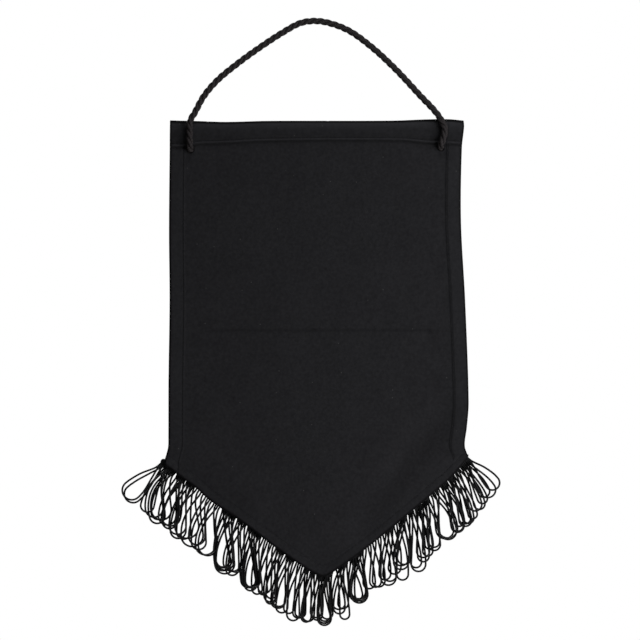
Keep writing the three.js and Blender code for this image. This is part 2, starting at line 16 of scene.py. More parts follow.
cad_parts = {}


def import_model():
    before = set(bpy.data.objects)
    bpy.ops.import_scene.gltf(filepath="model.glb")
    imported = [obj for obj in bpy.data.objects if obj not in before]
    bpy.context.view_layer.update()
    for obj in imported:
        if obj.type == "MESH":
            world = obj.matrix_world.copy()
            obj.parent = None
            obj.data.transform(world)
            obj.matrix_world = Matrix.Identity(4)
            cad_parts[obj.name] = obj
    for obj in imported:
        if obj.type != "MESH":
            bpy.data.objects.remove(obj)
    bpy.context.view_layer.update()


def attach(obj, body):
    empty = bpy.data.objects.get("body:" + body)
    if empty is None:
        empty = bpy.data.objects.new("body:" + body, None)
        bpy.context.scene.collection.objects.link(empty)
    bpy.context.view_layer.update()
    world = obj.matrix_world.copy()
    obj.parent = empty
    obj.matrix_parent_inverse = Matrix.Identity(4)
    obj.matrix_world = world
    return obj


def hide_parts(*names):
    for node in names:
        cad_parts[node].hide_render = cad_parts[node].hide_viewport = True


log = logging.getLogger("wall_banner")

MM = 0.001
ROOT = "root"


class Side(Enum):
    """The two ends of the banner's top band, as a sign of X."""

    LEFT = -1
    RIGHT = 1


class Face(Enum):
    """The two faces of the cloth, as a sign of Y."""

    FRONT = -1
    BACK = 1


# The cloth's outline as it hangs: x by z along its sides, z by x along its top and its pointed lower edge
LEFT_SIDE = [
    (-349, -117.8), (-341.5, -117.5), (-336.5, -116.1), (-331, -114.8), (-322, -114.6), (-279, -114.5),
    (-216, -113.7), (-160, -114.2), (-76, -113.4),
]
RIGHT_SIDE = [
    (-349, 119.4), (-338.6, 119.8), (-334.5, 118.4), (-331, 117.3), (-326, 117.3), (-316, 118.8),
    (-295, 120.3), (-216, 117.6), (-154, 114.4), (-97, 115.1), (-80, 116.8), (-75, 116.4),
]
TOP_EDGE = [
    (-113, -75.4), (-92, -75.9), (-70, -76.6), (-36, -75.8), (60, -75.6), (88, -74.6), (105, -74.5),
    (117, -75.6),
]
LOWER_EDGE = [
    (-117.6, -345.6), (-113, -348.4), (-104, -355.4), (-92, -364.1), (-81.8, -373.2), (-59.1, -388.6),
    (-27, -412.6), (-5.9, -427.2), (1.5, -431.4), (6.2, -432.9), (11, -431.2), (30.1, -418.2), (56, -398),
    (79.5, -378.4), (100.6, -360.6), (106.8, -354.6), (112, -348.8), (116.4, -343.6), (119.4, -340),
]
# The lower corners, of which the right one is drawn up
LEFT_CORNER_Z = -345.5
RIGHT_CORNER_Z = -339.5
# How far down the top band reaches, by x
BAND_DEPTH = [
    (-113, 20.4), (-102, 20.1), (-97.5, 18.9), (-88, 17.2), (-45, 15.3), (65, 15.1), (90, 18.2), (117, 18.9),
]
# The band's two faces by the share of its depth, as distances from the middle of the cloth: full behind its
# round top, nipped at its seam, with a lip below
BAND_FRONT = [
    (0, 2.3), (0.12, 2.95), (0.3, 3.55), (0.5, 3.85), (0.68, 3.75), (0.8, 3.2), (0.87, 2.5), (0.895, 2.35),
    (0.93, 2.75), (0.97, 2.65), (1, 2.25),
]
BAND_BACK = [(0, 0.6), (0.25, 1.15), (0.6, 1.2), (0.84, 0.82), (0.875, 0.8), (0.93, 0.86), (1, 0.75)]


class Fold(NamedTuple):
    """A soft crease, swell or trough along a line, with how far it pushes the cloth to the back."""

    x0: float
    z0: float
    x1: float
    z1: float
    width: float
    push: float


# The crease across the middle in two parts, a trough above the right sloping edge, a hollow at the point,
# and the swells along both sloping edges
FOLDS = [
    Fold(-72, -239.6, -4, -239.4, 5, 0.65),
    Fold(24, -239.8, 88, -240.2, 5, 0.6),
    Fold(100, -302, 36, -388, 18, 1.5),
    Fold(2, -421, 8, -421, 22, 0.9),
    Fold(-98, -330, -48, -372, 24, -0.9),
    Fold(108, -330, 66, -372, 22, -1.1),
]

# The sides curl forward, most at the lower corners. The curl starts this far from the middle and at this
# height, and is full this much further down.
CURL = {Side.LEFT: 2.2, Side.RIGHT: 3.2}
CURL_FROM = 62
CURL_TOP_Z = -100
CURL_DROP = 245

# The hanging cord's centre line in metres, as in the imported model
CORD_ROUTE = [
    (-0.0975, 0.001, -0.09815), (-0.0975, -0.0009, -0.09815), (-0.0975, -0.0037, -0.0974),
    (-0.0976, -0.0058, -0.0953), (-0.0977, -0.0067, -0.0918), (-0.0978, -0.0068, -0.084),
    (-0.0974, -0.0066, -0.0765), (-0.0935, -0.0059, -0.0692), (-0.0867, -0.0051, -0.0567),
    (-0.0761, -0.0043, -0.0442), (-0.061, -0.0036, -0.0316), (-0.0442, -0.003, -0.0193),
    (-0.0254, -0.0024, -0.0069), (-0.0115, -0.0021, 0.0006), (-0.001, -0.002, 0.0023),
    (0.0095, -0.0021, 0.0011), (0.0262, -0.0024, -0.0051), (0.045, -0.003, -0.0187),
    (0.0638, -0.0037, -0.0363), (0.0826, -0.0046, -0.0566), (0.0937, -0.0056, -0.0684),
    (0.0987, -0.0064, -0.0756), (0.1013, -0.0068, -0.082), (0.1007, -0.0068, -0.0884),
    (0.0991, -0.006, -0.0932), (0.0986, -0.0038, -0.0957), (0.0986, -0.0009, -0.0965),
    (0.0986, 0.001, -0.0965),
]


class Hole(NamedTuple):
    """Where the cord goes through the cloth."""

    side: Side
    x: float
    z: float


HOLES = [Hole(Side.LEFT, -97.5, -98.35), Hole(Side.RIGHT, 98.6, -96.7)]
HOLE_RADIUS = 2.8


class Bunch(NamedTuple):
    """Loops of the fringe that fall together.

    They leave the hem from start to end, and the longest of them end at x and z. They bow to the right at
    their middle and stray from each other. They draw together by gather, where 1 keeps the spacing of their
    roots.
    """

    start: float
    end: float
    loops: int
    x: float
    z: float
    bow: float
    width: float
    gather: float
    stray: float


BUNCHES = [
    Bunch(-120.8, -117.2, 2, -148.5, -371, 0, 15.5, 0.7, 0.6),
    Bunch(-116.9, -115.4, 1, -132.5, -382.3, -2.5, 10.5, 1, 0),
    Bunch(-115, -108, 4, -121.5, -391, -6.5, 13, 0.5, 1),
    Bunch(-107.5, -100.5, 4, -114.5, -394, -2, 13, 0.5, 0.8),
    Bunch(-100, -93, 3, -106, -403.5, -3.5, 12.5, 0.9, 0.8),
    Bunch(-92.5, -86, 2, -97.5, -408, -4.5, 16, 0.8, 0.8),
    Bunch(-85.5, -79.5, 2, -90.5, -411, -4, 13, 1, 0.8),
    Bunch(-79, -73, 2, -84, -418, -4, 14, 1, 0.6),
    Bunch(-72.5, -61, 5, -70.5, -428.5, -3, 13, 0.25, 0.8),
    Bunch(-60.5, -53, 3, -64, -431.8, -2, 11.5, 0.4, 1),
    Bunch(-52.5, -41, 5, -49.5, -443, -3, 11.5, 0.25, 0.7),
    Bunch(-40.5, -31, 3, -41.5, -449, -2.5, 9, 0.7, 1),
    Bunch(-30.5, -23, 3, -34.5, -453.6, -2.5, 9.5, 0.6, 1),
    Bunch(-22.5, -15, 3, -28, -460, -2.5, 10, 0.5, 0.9),
    Bunch(-14.5, -8.5, 2, -19, -464.8, -2, 9, 0.9, 0.6),
    Bunch(-8, -3.8, 2, -12, -466.6, -1.5, 8.5, 1, 0.4),
    Bunch(-3.4, 0.8, 2, -6, -468.6, -1, 8.5, 1, 0.4),
    Bunch(1.2, 6, 2, 1, -467, 0, 8.5, 0.8, 0.7),
    Bunch(6.5, 15, 4, 8.7, -469.8, -2, 9.5, 0.3, 0.7),
    Bunch(15.5, 19, 1, 23.5, -466, 1.5, 7.5, 0.6, 0),
    Bunch(19.4, 26.5, 3, 20, -460, -1.5, 8.5, 0.5, 0.8),
    Bunch(27, 38.5, 5, 35, -453.2, -0.5, 11.5, 0.25, 0.8),
    Bunch(39, 46, 2, 45, -442, 0.5, 8.5, 1, 0.6),
    Bunch(46.5, 54, 2, 52, -439.8, 1, 10, 1, 0.6),
    Bunch(54.5, 62.5, 3, 59.5, -437.4, 1, 10, 0.8, 0.9),
    Bunch(63, 66, 1, 68.5, -435.2, 1.5, 9, 1, 0),
    Bunch(66.5, 72, 3, 67, -426, 1, 11, 0.6, 0.7),
    Bunch(72.5, 77, 2, 80.8, -428.6, 2, 9.5, 1, 0.8),
    Bunch(77.5, 83, 3, 86, -419.6, 1.5, 9, 0.8, 1),
    Bunch(83.5, 89, 3, 92, -412.8, 1.5, 8.5, 0.8, 1),
    Bunch(89.5, 97, 3, 104.5, -403.8, 2.5, 14.5, 0.25, 0.4),
    Bunch(97.5, 103, 3, 112.5, -397.8, 2.5, 10, 0.4, 0.8),
    Bunch(103.5, 108.2, 3, 119.3, -391.8, 2.5, 9, 0.7, 0.7),
    Bunch(108.6, 112.4, 2, 126, -385.8, 2.5, 9, 0.9, 1),
    Bunch(112.8, 115.6, 2, 131, -378.6, 2, 8.5, 1, 1),
    Bunch(116, 119.6, 3, 139.5, -368.5, 1, 11, 3, 0.8),
]
# Where the scatter of loop 0 starts
STRAY_START = 0.37


class Stray(Enum):
    """What strays from loop to loop, with the most that it strays and a stride that scatters its numbers."""

    LENGTH = (0.07, 0.618034)
    WIDTH = (0.24, 0.754878)
    ALONG = (2.2, 0.56984)
    SWERVE = (1.2, 0.4142)

    def at(self, i: int) -> float:
        """Return how far loop i strays, on either side of 0 and the same each time."""
        most, stride = self.value
        return most * (2 * ((i * stride + STRAY_START) % 1) - 1)


def mix(a: float, b: float, share: float) -> float:
    """Return the number that lies a share of the way from a to b."""
    return a + (b - a) * share


def soft(share: float) -> float:
    """Return a smooth step from 0 to 1 as share goes from 0 to 1."""
    t = min(max(share, 0.0), 1.0)
    return t * t * (3 - 2 * t)


def fall_off(distance: float, reach: float) -> float:
    """Return 1 on a line that falls smoothly to 0 at a distance of reach."""
    return soft(1 - abs(distance) / reach)


def along(rows: list[tuple[float, float]], at: float) -> float:
    """Read a table on a smooth line through its rows.

    Args:
        rows: pairs of place and value, in the order of their places.
        at: the place to read.

    Returns:
        The value there, on a straight run-on past the first and last rows.
    """
    last = len(rows) - 1

    def slope(i: int) -> float:
        """Return the slope at a row, from the rows on either side."""
        before, after = rows[max(i - 1, 0)], rows[min(i + 1, last)]
        return (after[1] - before[1]) / (after[0] - before[0])

    if at <= rows[0][0]:
        return rows[0][1] + slope(0) * (at - rows[0][0])
    if at >= rows[last][0]:
        return rows[last][1] + slope(last) * (at - rows[last][0])
    i = next(k for k, row in enumerate(rows) if row[0] > at) - 1
    span = rows[i + 1][0] - rows[i][0]
    t = (at - rows[i][0]) / span
    level = mix(rows[i][1], rows[i + 1][1], soft(t))
    return level + span * t * (1 - t) * (slope(i) * (1 - t) - slope(i + 1) * t)


class Ripple(NamedTuple):
    """A small unevenness of the cloth: how high it stands, how long its waves are and where they start."""

    height: float
    length: float
    seed: float

    def at(self, x: float, z: float) -> float:
        """Return how far it lifts the cloth at a place."""
        return self.height * noise.noise(Vector((x / self.length, self.seed, z / self.length)))


def lower_edge(x: float) -> float:
    """Return the height of the cloth's pointed lower edge at x."""
    return along(LOWER_EDGE, x)


def drift(x: float, z: float) -> float:
    """Find the middle of the cloth, by its folds and the forward curl of its sides.

    Args:
        x: the place across.
        z: the place up.

    Returns:
        How far it lies behind y = 0.
    """
    reach = CURL[Side.LEFT if x < 0 else Side.RIGHT]
    out = max(abs(x) - CURL_FROM, 0) / (along(RIGHT_SIDE, RIGHT_CORNER_Z) - CURL_FROM)
    y = -reach * out * out * soft((CURL_TOP_Z - z) / CURL_DROP)
    for fold in FOLDS:
        dx, dz = fold.x1 - fold.x0, fold.z1 - fold.z0
        share = ((x - fold.x0) * dx + (z - fold.z0) * dz) / (dx * dx + dz * dz)
        share = min(max(share, 0.0), 1.0)
        away = math.hypot(x - fold.x0 - share * dx, z - fold.z0 - share * dz)
        y += fold.push * soft(1 - away / fold.width)
    return y


# Meshes and pieces


class Shape:
    """Points, faces and their maps in millimetres, gathered before they become one mesh."""

    def __init__(self) -> None:
        """Start with nothing."""
        self.points: list[tuple[float, float, float]] = []
        self.faces: list[tuple[int, ...]] = []
        self.maps: list[tuple[tuple[float, float], ...]] = []
        # Painted light for the felt at each point: a painted highlight above 0, painted shade below 0
        self.painted_light: list[float] = []

    def tube(
        self,
        path: list[Vector],
        radius: Callable[[float], float],
        sides: int,
        start_side: Vector,
        map_start: float = 0.0,
    ) -> None:
        """Add a closed round bar along a path, mapped by its length in millimetres and its turn from 0 to 1.

        Args:
            path: points of the centre line.
            radius: the radius at a share of the path's length.
            sides: how many sides the section has.
            start_side: a direction across the path at its start, from which the turn is counted.
            map_start: the length that the map starts at, so that bars don't all carry the same marks.
        """
        base = len(self.points)
        last = len(path) - 1
        lengths = [0.0]
        for before, here in zip(path, path[1:]):
            lengths.append(lengths[-1] + (here - before).length)
        side = start_side.copy()
        for i, point in enumerate(path):
            ahead = (path[min(i + 1, last)] - path[max(i - 1, 0)]).normalized()
            side = (side - ahead * side.dot(ahead)).normalized()
            up = ahead.cross(side)
            size = radius(lengths[i] / lengths[-1])
            for k in range(sides):
                turn = 2 * math.pi * k / sides
                corner = point + side * (size * math.cos(turn)) + up * (size * math.sin(turn))
                self.points.append(tuple(corner))
        for i in range(last):
            u0, u1 = map_start + lengths[i], map_start + lengths[i + 1]
            for k in range(sides):
                a, b = base + i * sides + k, base + i * sides + (k + 1) % sides
                v0, v1 = k / sides, (k + 1) / sides
                self.faces.append((a, b, b + sides, a + sides))
                self.maps.append(((u0, v0), (u0, v1), (u1, v1), (u1, v0)))
        for ring, ends in ((base, -1), (base + last * sides, 1)):
            corners = tuple(ring + k for k in range(sides))
            self.faces.append(corners if ends > 0 else corners[::-1])
            self.maps.append(tuple((map_start, 0.0) for _ in corners))

    def laid_cord(self, path: list[Vector], lay: "CordLay", start_side: Vector, splay: float = 0.0) -> None:
        """Add three strands that twist round a path.

        Args:
            path: close points of the cord's centre line.
            lay: the sizes of the cord.
            start_side: a direction across the path at its start.
            splay: how far the strands stand apart at the end of the path, for a frayed end.
        """

        def loose(share: float, start: float) -> float:
            """Return how far the end has frayed at a share of the length, from 0 at start to 1."""
            return soft((share - start) / (1 - start)) if splay else 0.0

        def thickness(share: float) -> float:
            """Return a strand's radius at a share of its length."""
            return lay.strand_radius * (1 - lay.tip_thinning * loose(share, lay.tip_start))

        last = len(path) - 1
        side = start_side.copy()
        rings: list[list[Vector]] = [[], [], []]
        run = 0.0
        for i, point in enumerate(path):
            ahead = (path[min(i + 1, last)] - path[max(i - 1, 0)]).normalized()
            side = (side - ahead * side.dot(ahead)).normalized()
            up = ahead.cross(side)
            offset = lay.strand_offset + splay * loose(i / last, lay.fray_start)
            for strand, ring in enumerate(rings):
                turn = 2 * math.pi * (strand / len(rings) - run / lay.pitch)
                ring.append(point + (side * math.cos(turn) + up * math.sin(turn)) * offset)
            if i < last:
                run += (path[i + 1] - point).length
        for strand, ring in enumerate(rings):
            across = (ring[0] - path[0]).normalized()
            self.tube(ring, thickness, lay.sides, across, map_start=strand * lay.map_shift)

    def piece(self, name: str, finish: "Finish") -> bpy.types.Object:
        """Turn the shape into one smooth piece of the banner that rides on its body.

        Args:
            name: the piece's name.
            finish: what it is made of.

        Returns:
            The new object, at the origin, with its place in its mesh.
        """
        mesh = bpy.data.meshes.new(name)
        mesh.from_pydata([(x * MM, y * MM, z * MM) for x, y, z in self.points], [], self.faces)
        if self.maps:
            layer = mesh.uv_layers.new(name="along_and_round")
            flat = [value for face in self.maps for pair in face for value in pair]
            layer.data.foreach_set("uv", flat)
        # The felt reads its painted highlights and painted shade from this attribute
        if self.painted_light:
            mesh.attributes.new("painted_light", "FLOAT", "POINT").data.foreach_set("value", self.painted_light)
        mesh.polygons.foreach_set("use_smooth", [True] * len(mesh.polygons))
        mesh.update()
        piece = bpy.data.objects.new(name, mesh)
        bpy.context.scene.collection.objects.link(piece)
        dress(piece, finish)
        log.info("%s: %d faces", name, len(mesh.polygons))
        return piece


def dress(piece: bpy.types.Object, finish: "Finish") -> None:
    """Give a piece its finish and the body it rides on.

    Args:
        piece: the piece.
        finish: what it is made of.
    """
    piece.data.materials.clear()
    piece.data.materials.append(finish.material())
    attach(piece, ROOT)


def only(piece: bpy.types.Object) -> None:
    """Select one piece and nothing else, because operators act on all that is selected.

    Args:
        piece: the piece, which also becomes the active one.
    """
    bpy.ops.object.select_all(action="DESELECT")
    piece.select_set(True)
    bpy.context.view_layer.objects.active = piece


# Finishes


def linear(colour: str) -> tuple[float, float, float, float]:
    """Turn an sRGB colour such as "#1c1c1e" into the linear one that a shader takes."""
    channels = [int(colour[i : i + 2], 16) / 255 for i in (1, 3, 5)]
    return (*(c / 12.92 if c <= 0.04045 else ((c + 0.055) / 1.055) ** 2.4 for c in channels), 1.0)


def add_node(
    tree: bpy.types.NodeTree,
    kind: str,
    settings: dict | None = None,
    inputs: dict | None = None,
    links: dict | None = None,
) -> bpy.types.Node:
    """Add one shader node.

    Args:
        tree: the material's or world's nodes.
        kind: the node's type name without its "ShaderNode" start.
        settings: its properties by name.
        inputs: values of its input sockets by name or number.
        links: the output socket that feeds each input socket, by the input's name or number.

    Returns:
        The new node.
    """
    node = tree.nodes.new("ShaderNode" + kind)
    for name, value in (settings or {}).items():
        setattr(node, name, value)
    for name, value in (inputs or {}).items():
        node.inputs[name].default_value = value
    for name, output in (links or {}).items():
        tree.links.new(output, node.inputs[name])
    return node


@dataclass(frozen=True)
class Finish:
    """What a piece is made of: a matt textile with its own colour, relief and marks."""

    name: str
    slot: str

    def material(self) -> bpy.types.Material:
        """Make the material once, for all pieces of this finish.

        Returns:
            The material.
        """
        known = bpy.data.materials.get(self.name)
        if known:
            return known
        material = bpy.data.materials.new(self.name)
        material.use_nodes = True
        material.node_tree.nodes.clear()
        shader = self.nodes(material.node_tree)
        add_node(material.node_tree, "OutputMaterial", links={"Surface": shader.outputs["BSDF"]})
        return material

    def nodes(self, tree: bpy.types.NodeTree) -> bpy.types.Node:
        """Build the nodes up to the shader and return the shader."""
        raise NotImplementedError


@dataclass(frozen=True)
class FeltedCotton(Finish):
    """Black felted cotton, napped after weaving.

    It has no gloss. Its short fibres hide the weave and hold pale lint. A painted highlight makes it paler
    where the cloth stands proud, and painted shade darkens its seams, its crease, the strip under the band and
    its cut edge.
    """

    name: str = "felted_cotton"
    slot: str = "felt_cotton"
    deep: str = "#121214"
    raised: str = "#1c1c1e"
    # The colour of the painted highlight, and below it the near black of the painted shade
    painted_highlight: str = "#2e2e31"
    painted_shade: str = "#020203"
    lint: str = "#6a6a68"
    nap_mm: float = 2.4
    cloud_mm: float = 26.0
    cloud_share: float = 0.2
    fibre_mm: float = 0.55
    thread_mm: float = 0.9  # real threads are 0.4 mm apart, too fine to show, so they are drawn coarser
    thread_share: float = 0.12
    relief_mm: float = 0.25
    lint_cell_mm: float = 7.0
    lint_size: float = 0.06
    lint_cover: float = 0.3
    bare_cells: float = 0.62

    def nodes(self, tree: bpy.types.NodeTree) -> bpy.types.Node:
        """Build the nodes of the felt.

        Args:
            tree: the material's empty node tree.

        Returns:
            The shader node.
        """
        place = add_node(tree, "TexCoord").outputs["Object"]
        # The dyed colour gets its painted highlights and painted shade, then its lint
        colour = self.linted(tree, place, self.painted_light(tree, self.dyed(tree, place)))
        bump = add_node(
            tree, "Bump", inputs={"Strength": 0.55, "Distance": self.relief_mm * MM},
            links={"Height": self.height(tree, place)},
        )
        return add_node(
            tree, "BsdfPrincipled",
            inputs={
                "Roughness": 0.95, "Specular IOR Level": 0.08, "Sheen Weight": 0.02, "Sheen Roughness": 0.55,
            },
            links={"Base Color": colour, "Normal": bump.outputs["Normal"]},
        )

    def dyed(self, tree: bpy.types.NodeTree, place: bpy.types.NodeSocket) -> bpy.types.NodeSocket:
        """Mix the dye's two tones by the nap and by larger, fainter clouds.

        Args:
            tree: the material's nodes.
            place: the place on the piece.

        Returns:
            The colour.
        """
        nap_and_painted_light = add_node(
            tree, "TexNoise", inputs={"Scale": 1 / (self.nap_mm * MM), "Detail": 3.0, "Roughness": 0.6},
            links={"Vector": place},
        )
        cloud = add_node(
            tree, "TexNoise", inputs={"Scale": 1 / (self.cloud_mm * MM), "Detail": 2.0},
            links={"Vector": place},
        )
        faint = add_node(
            tree, "Math", {"operation": "MULTIPLY"}, {1: self.cloud_share}, {0: cloud.outputs["Fac"]}
        )
        both = add_node(
            tree, "Math", {"operation": "MULTIPLY_ADD"}, {1: 1 - self.cloud_share},
            {0: nap_and_painted_light.outputs["Fac"], 2: faint.outputs[0]},
        )
        shade = add_node(
            tree, "MapRange", inputs={"From Min": 0.3, "From Max": 0.7}, links={"Value": both.outputs[0]}
        )
        return add_node(
            tree, "Mix", {"data_type": "RGBA"}, {6: linear(self.deep), 7: linear(self.raised)},
            {0: shade.outputs["Result"]},
        ).outputs[2]

    def painted_light(self, tree: bpy.types.NodeTree, cloth: bpy.types.NodeSocket) -> bpy.types.NodeSocket:
        """Paint a pale highlight and dark shade on the cloth, where its attribute asks for them.

        Args:
            tree: the material's nodes.
            cloth: the colour of the cloth so far.

        Returns:
            The colour.
        """
        # The attribute is above 0 where a highlight is painted and below 0 where shade is painted
        painted_light = add_node(tree, "Attribute", {"attribute_name": "painted_light"}).outputs["Fac"]
        pale = add_node(tree, "Mix", {"data_type": "RGBA"}, {7: linear(self.painted_highlight)}, {0: painted_light, 6: cloth})
        # How much painted shade darkens the cloth, where the attribute is below 0
        depth = add_node(
            tree, "MapRange", inputs={"From Min": 0.0, "From Max": -1.0}, links={"Value": painted_light}
        )
        return add_node(
            tree, "Mix", {"data_type": "RGBA"}, {7: linear(self.painted_shade)},
            {0: depth.outputs["Result"], 6: pale.outputs[2]},
        ).outputs[2]

    def linted(
        self, tree: bpy.types.NodeTree, place: bpy.types.NodeSocket, cloth: bpy.types.NodeSocket
    ) -> bpy.types.NodeSocket:
        """Lay a speck of lint in a few of the cells of a coarse scatter.

        Args:
            tree: the material's nodes.
            place: the place on the piece.
            cloth: the colour of the cloth so far.

        Returns:
            The colour.
        """
        cells = add_node(
            tree, "TexVoronoi", inputs={"Scale": 1 / (self.lint_cell_mm * MM)}, links={"Vector": place}
        )
        near = add_node(
            tree, "MapRange", inputs={"From Min": self.lint_size, "From Max": self.lint_size / 2},
            links={"Value": cells.outputs["Distance"]},
        )
        lot = add_node(tree, "SeparateColor", links={0: cells.outputs["Color"]})
        chosen = add_node(
            tree, "Math", {"operation": "GREATER_THAN"}, {1: self.bare_cells}, {0: lot.outputs[0]}
        )
        speck = add_node(
            tree, "Math", {"operation": "MULTIPLY"}, links={0: near.outputs["Result"], 1: chosen.outputs[0]}
        )
        cover = add_node(tree, "Math", {"operation": "MULTIPLY"}, {1: self.lint_cover}, {0: speck.outputs[0]})
        return add_node(
            tree, "Mix", {"data_type": "RGBA"}, {7: linear(self.lint)}, {0: cover.outputs[0], 6: cloth}
        ).outputs[2]

    def height(self, tree: bpy.types.NodeTree, place: bpy.types.NodeSocket) -> bpy.types.NodeSocket:
        """Raise the short fibres, with the threads of the weave faintly under them.

        Args:
            tree: the material's nodes.
            place: the place on the piece.

        Returns:
            The height.
        """
        fibre = add_node(
            tree, "TexNoise", inputs={"Scale": 1 / (self.fibre_mm * MM), "Detail": 4.0, "Roughness": 0.7},
            links={"Vector": place},
        )
        parts = add_node(tree, "SeparateXYZ", links={0: place})
        threads = []
        for axis in ("X", "Z"):
            turn = add_node(
                tree, "Math", {"operation": "MULTIPLY"}, {1: 2 * math.pi / (self.thread_mm * MM)},
                {0: parts.outputs[axis]},
            )
            threads.append(add_node(tree, "Math", {"operation": "SINE"}, links={0: turn.outputs[0]}))
        weave = add_node(
            tree, "Math", {"operation": "MULTIPLY"},
            links={i: thread.outputs[0] for i, thread in enumerate(threads)},
        )
        return add_node(
            tree, "Math", {"operation": "MULTIPLY_ADD"}, {1: self.thread_share},
            {0: weave.outputs[0], 2: fibre.outputs["Fac"]},
        ).outputs[0]


@dataclass(frozen=True)
class TwistedTextile(Finish):
    """Spun and twisted fibre: fine yarns wind round each strand, and catch the light on their backs."""

    groove: str
    back: str
    turn_mm: float
    yarns: int
    roughness: float
    specular: float
    relief_mm: float
    fuzz_mm: float = 0.5

    def nodes(self, tree: bpy.types.NodeTree) -> bpy.types.Node:
        """Build the nodes of a twisted strand from its map along and round.

        Args:
            tree: the material's empty node tree.

        Returns:
            The shader node.
        """
        parts = add_node(tree, "SeparateXYZ", links={0: add_node(tree, "TexCoord").outputs["UV"]})
        turn = add_node(
            tree, "Math", {"operation": "MULTIPLY"}, {1: 2 * math.pi / self.turn_mm * self.yarns},
            {0: parts.outputs["X"]},
        )
        wind = add_node(
            tree, "Math", {"operation": "MULTIPLY_ADD"}, {1: 2 * math.pi * self.yarns},
            {0: parts.outputs["Y"], 2: turn.outputs[0]},
        )
        ridges = add_node(tree, "Math", {"operation": "SINE"}, links={0: wind.outputs[0]})
        place = add_node(tree, "TexCoord").outputs["Object"]
        fuzz = add_node(
            tree, "TexNoise", inputs={"Scale": 1 / (self.fuzz_mm * MM), "Detail": 3.0},
            links={"Vector": place},
        )
        height = add_node(
            tree, "Math", {"operation": "MULTIPLY_ADD"}, {1: 0.5},
            {0: ridges.outputs[0], 2: fuzz.outputs["Fac"]},
        )
        shade = add_node(
            tree, "MapRange", inputs={"From Min": -0.1, "From Max": 1.1}, links={"Value": height.outputs[0]}
        )
        # The grooves between the yarns get painted shade and the yarns' backs a painted highlight
        colour = add_node(
            tree, "Mix", {"data_type": "RGBA"}, {6: linear(self.groove), 7: linear(self.back)},
            {0: shade.outputs["Result"]},
        )
        bump = add_node(
            tree, "Bump", inputs={"Strength": 0.7, "Distance": self.relief_mm * MM},
            links={"Height": height.outputs[0]},
        )
        return add_node(
            tree, "BsdfPrincipled",
            inputs={"Roughness": self.roughness, "Specular IOR Level": self.specular},
            links={"Base Color": colour.outputs[2], "Normal": bump.outputs["Normal"]},
        )


FELT = FeltedCotton()
# Laid cotton cord: soft strands with hardly any gloss, with painted shade in the grooves between their yarns
CORD_COTTON = TwistedTextile(
    name="laid_cotton_cord", slot="cord_cotton", groove="#080707", back="#302d2e", turn_mm=6.0, yarns=5,
    roughness=0.75, specular=0.05, relief_mm=0.14,
)
# Mercerised yarn: cotton treated to a soft lustre, spun from two fine plies
FRINGE_YARN = TwistedTextile(
    name="mercerised_fringe_yarn", slot="fringe_yarn", groove="#040405", back="#0d0d0f", turn_mm=2.6, yarns=2,
    roughness=0.55, specular=0.1, relief_mm=0.1,
)
# Polyester sewing thread: fine, smooth and as dark as the felt that it sinks into
SEWING_THREAD = TwistedTextile(
    name="polyester_sewing_thread", slot="felt_cotton", groove="#08080a", back="#141416", turn_mm=1.2,
    yarns=3, roughness=0.7, specular=0.1, relief_mm=0.04,
)
# Woven tape: close crosswise ribs from the yarn that runs back and forth through it
FRINGE_TAPE = TwistedTextile(
    name="ribbed_fringe_tape", slot="fringe_yarn", groove="#0a0a0b", back="#19191b", turn_mm=1.3, yarns=1,
    roughness=0.8, specular=0.15, relief_mm=0.2,
)


# Hanging cord and its knots


@dataclass(frozen=True)
class CordLay:
    """Sizes of a three-strand laid cord.

    A frayed end loosens from fray_start and thins by tip_thinning from tip_start, as shares of its length.
    """

    strand_radius: float = 1.38
    strand_offset: float = 1.28
    pitch: float = 17.0
    sides: int = 12
    map_shift: float = 7.3
    fray_start: float = 0.55
    tip_start: float = 0.86
    tip_thinning: float = 0.55


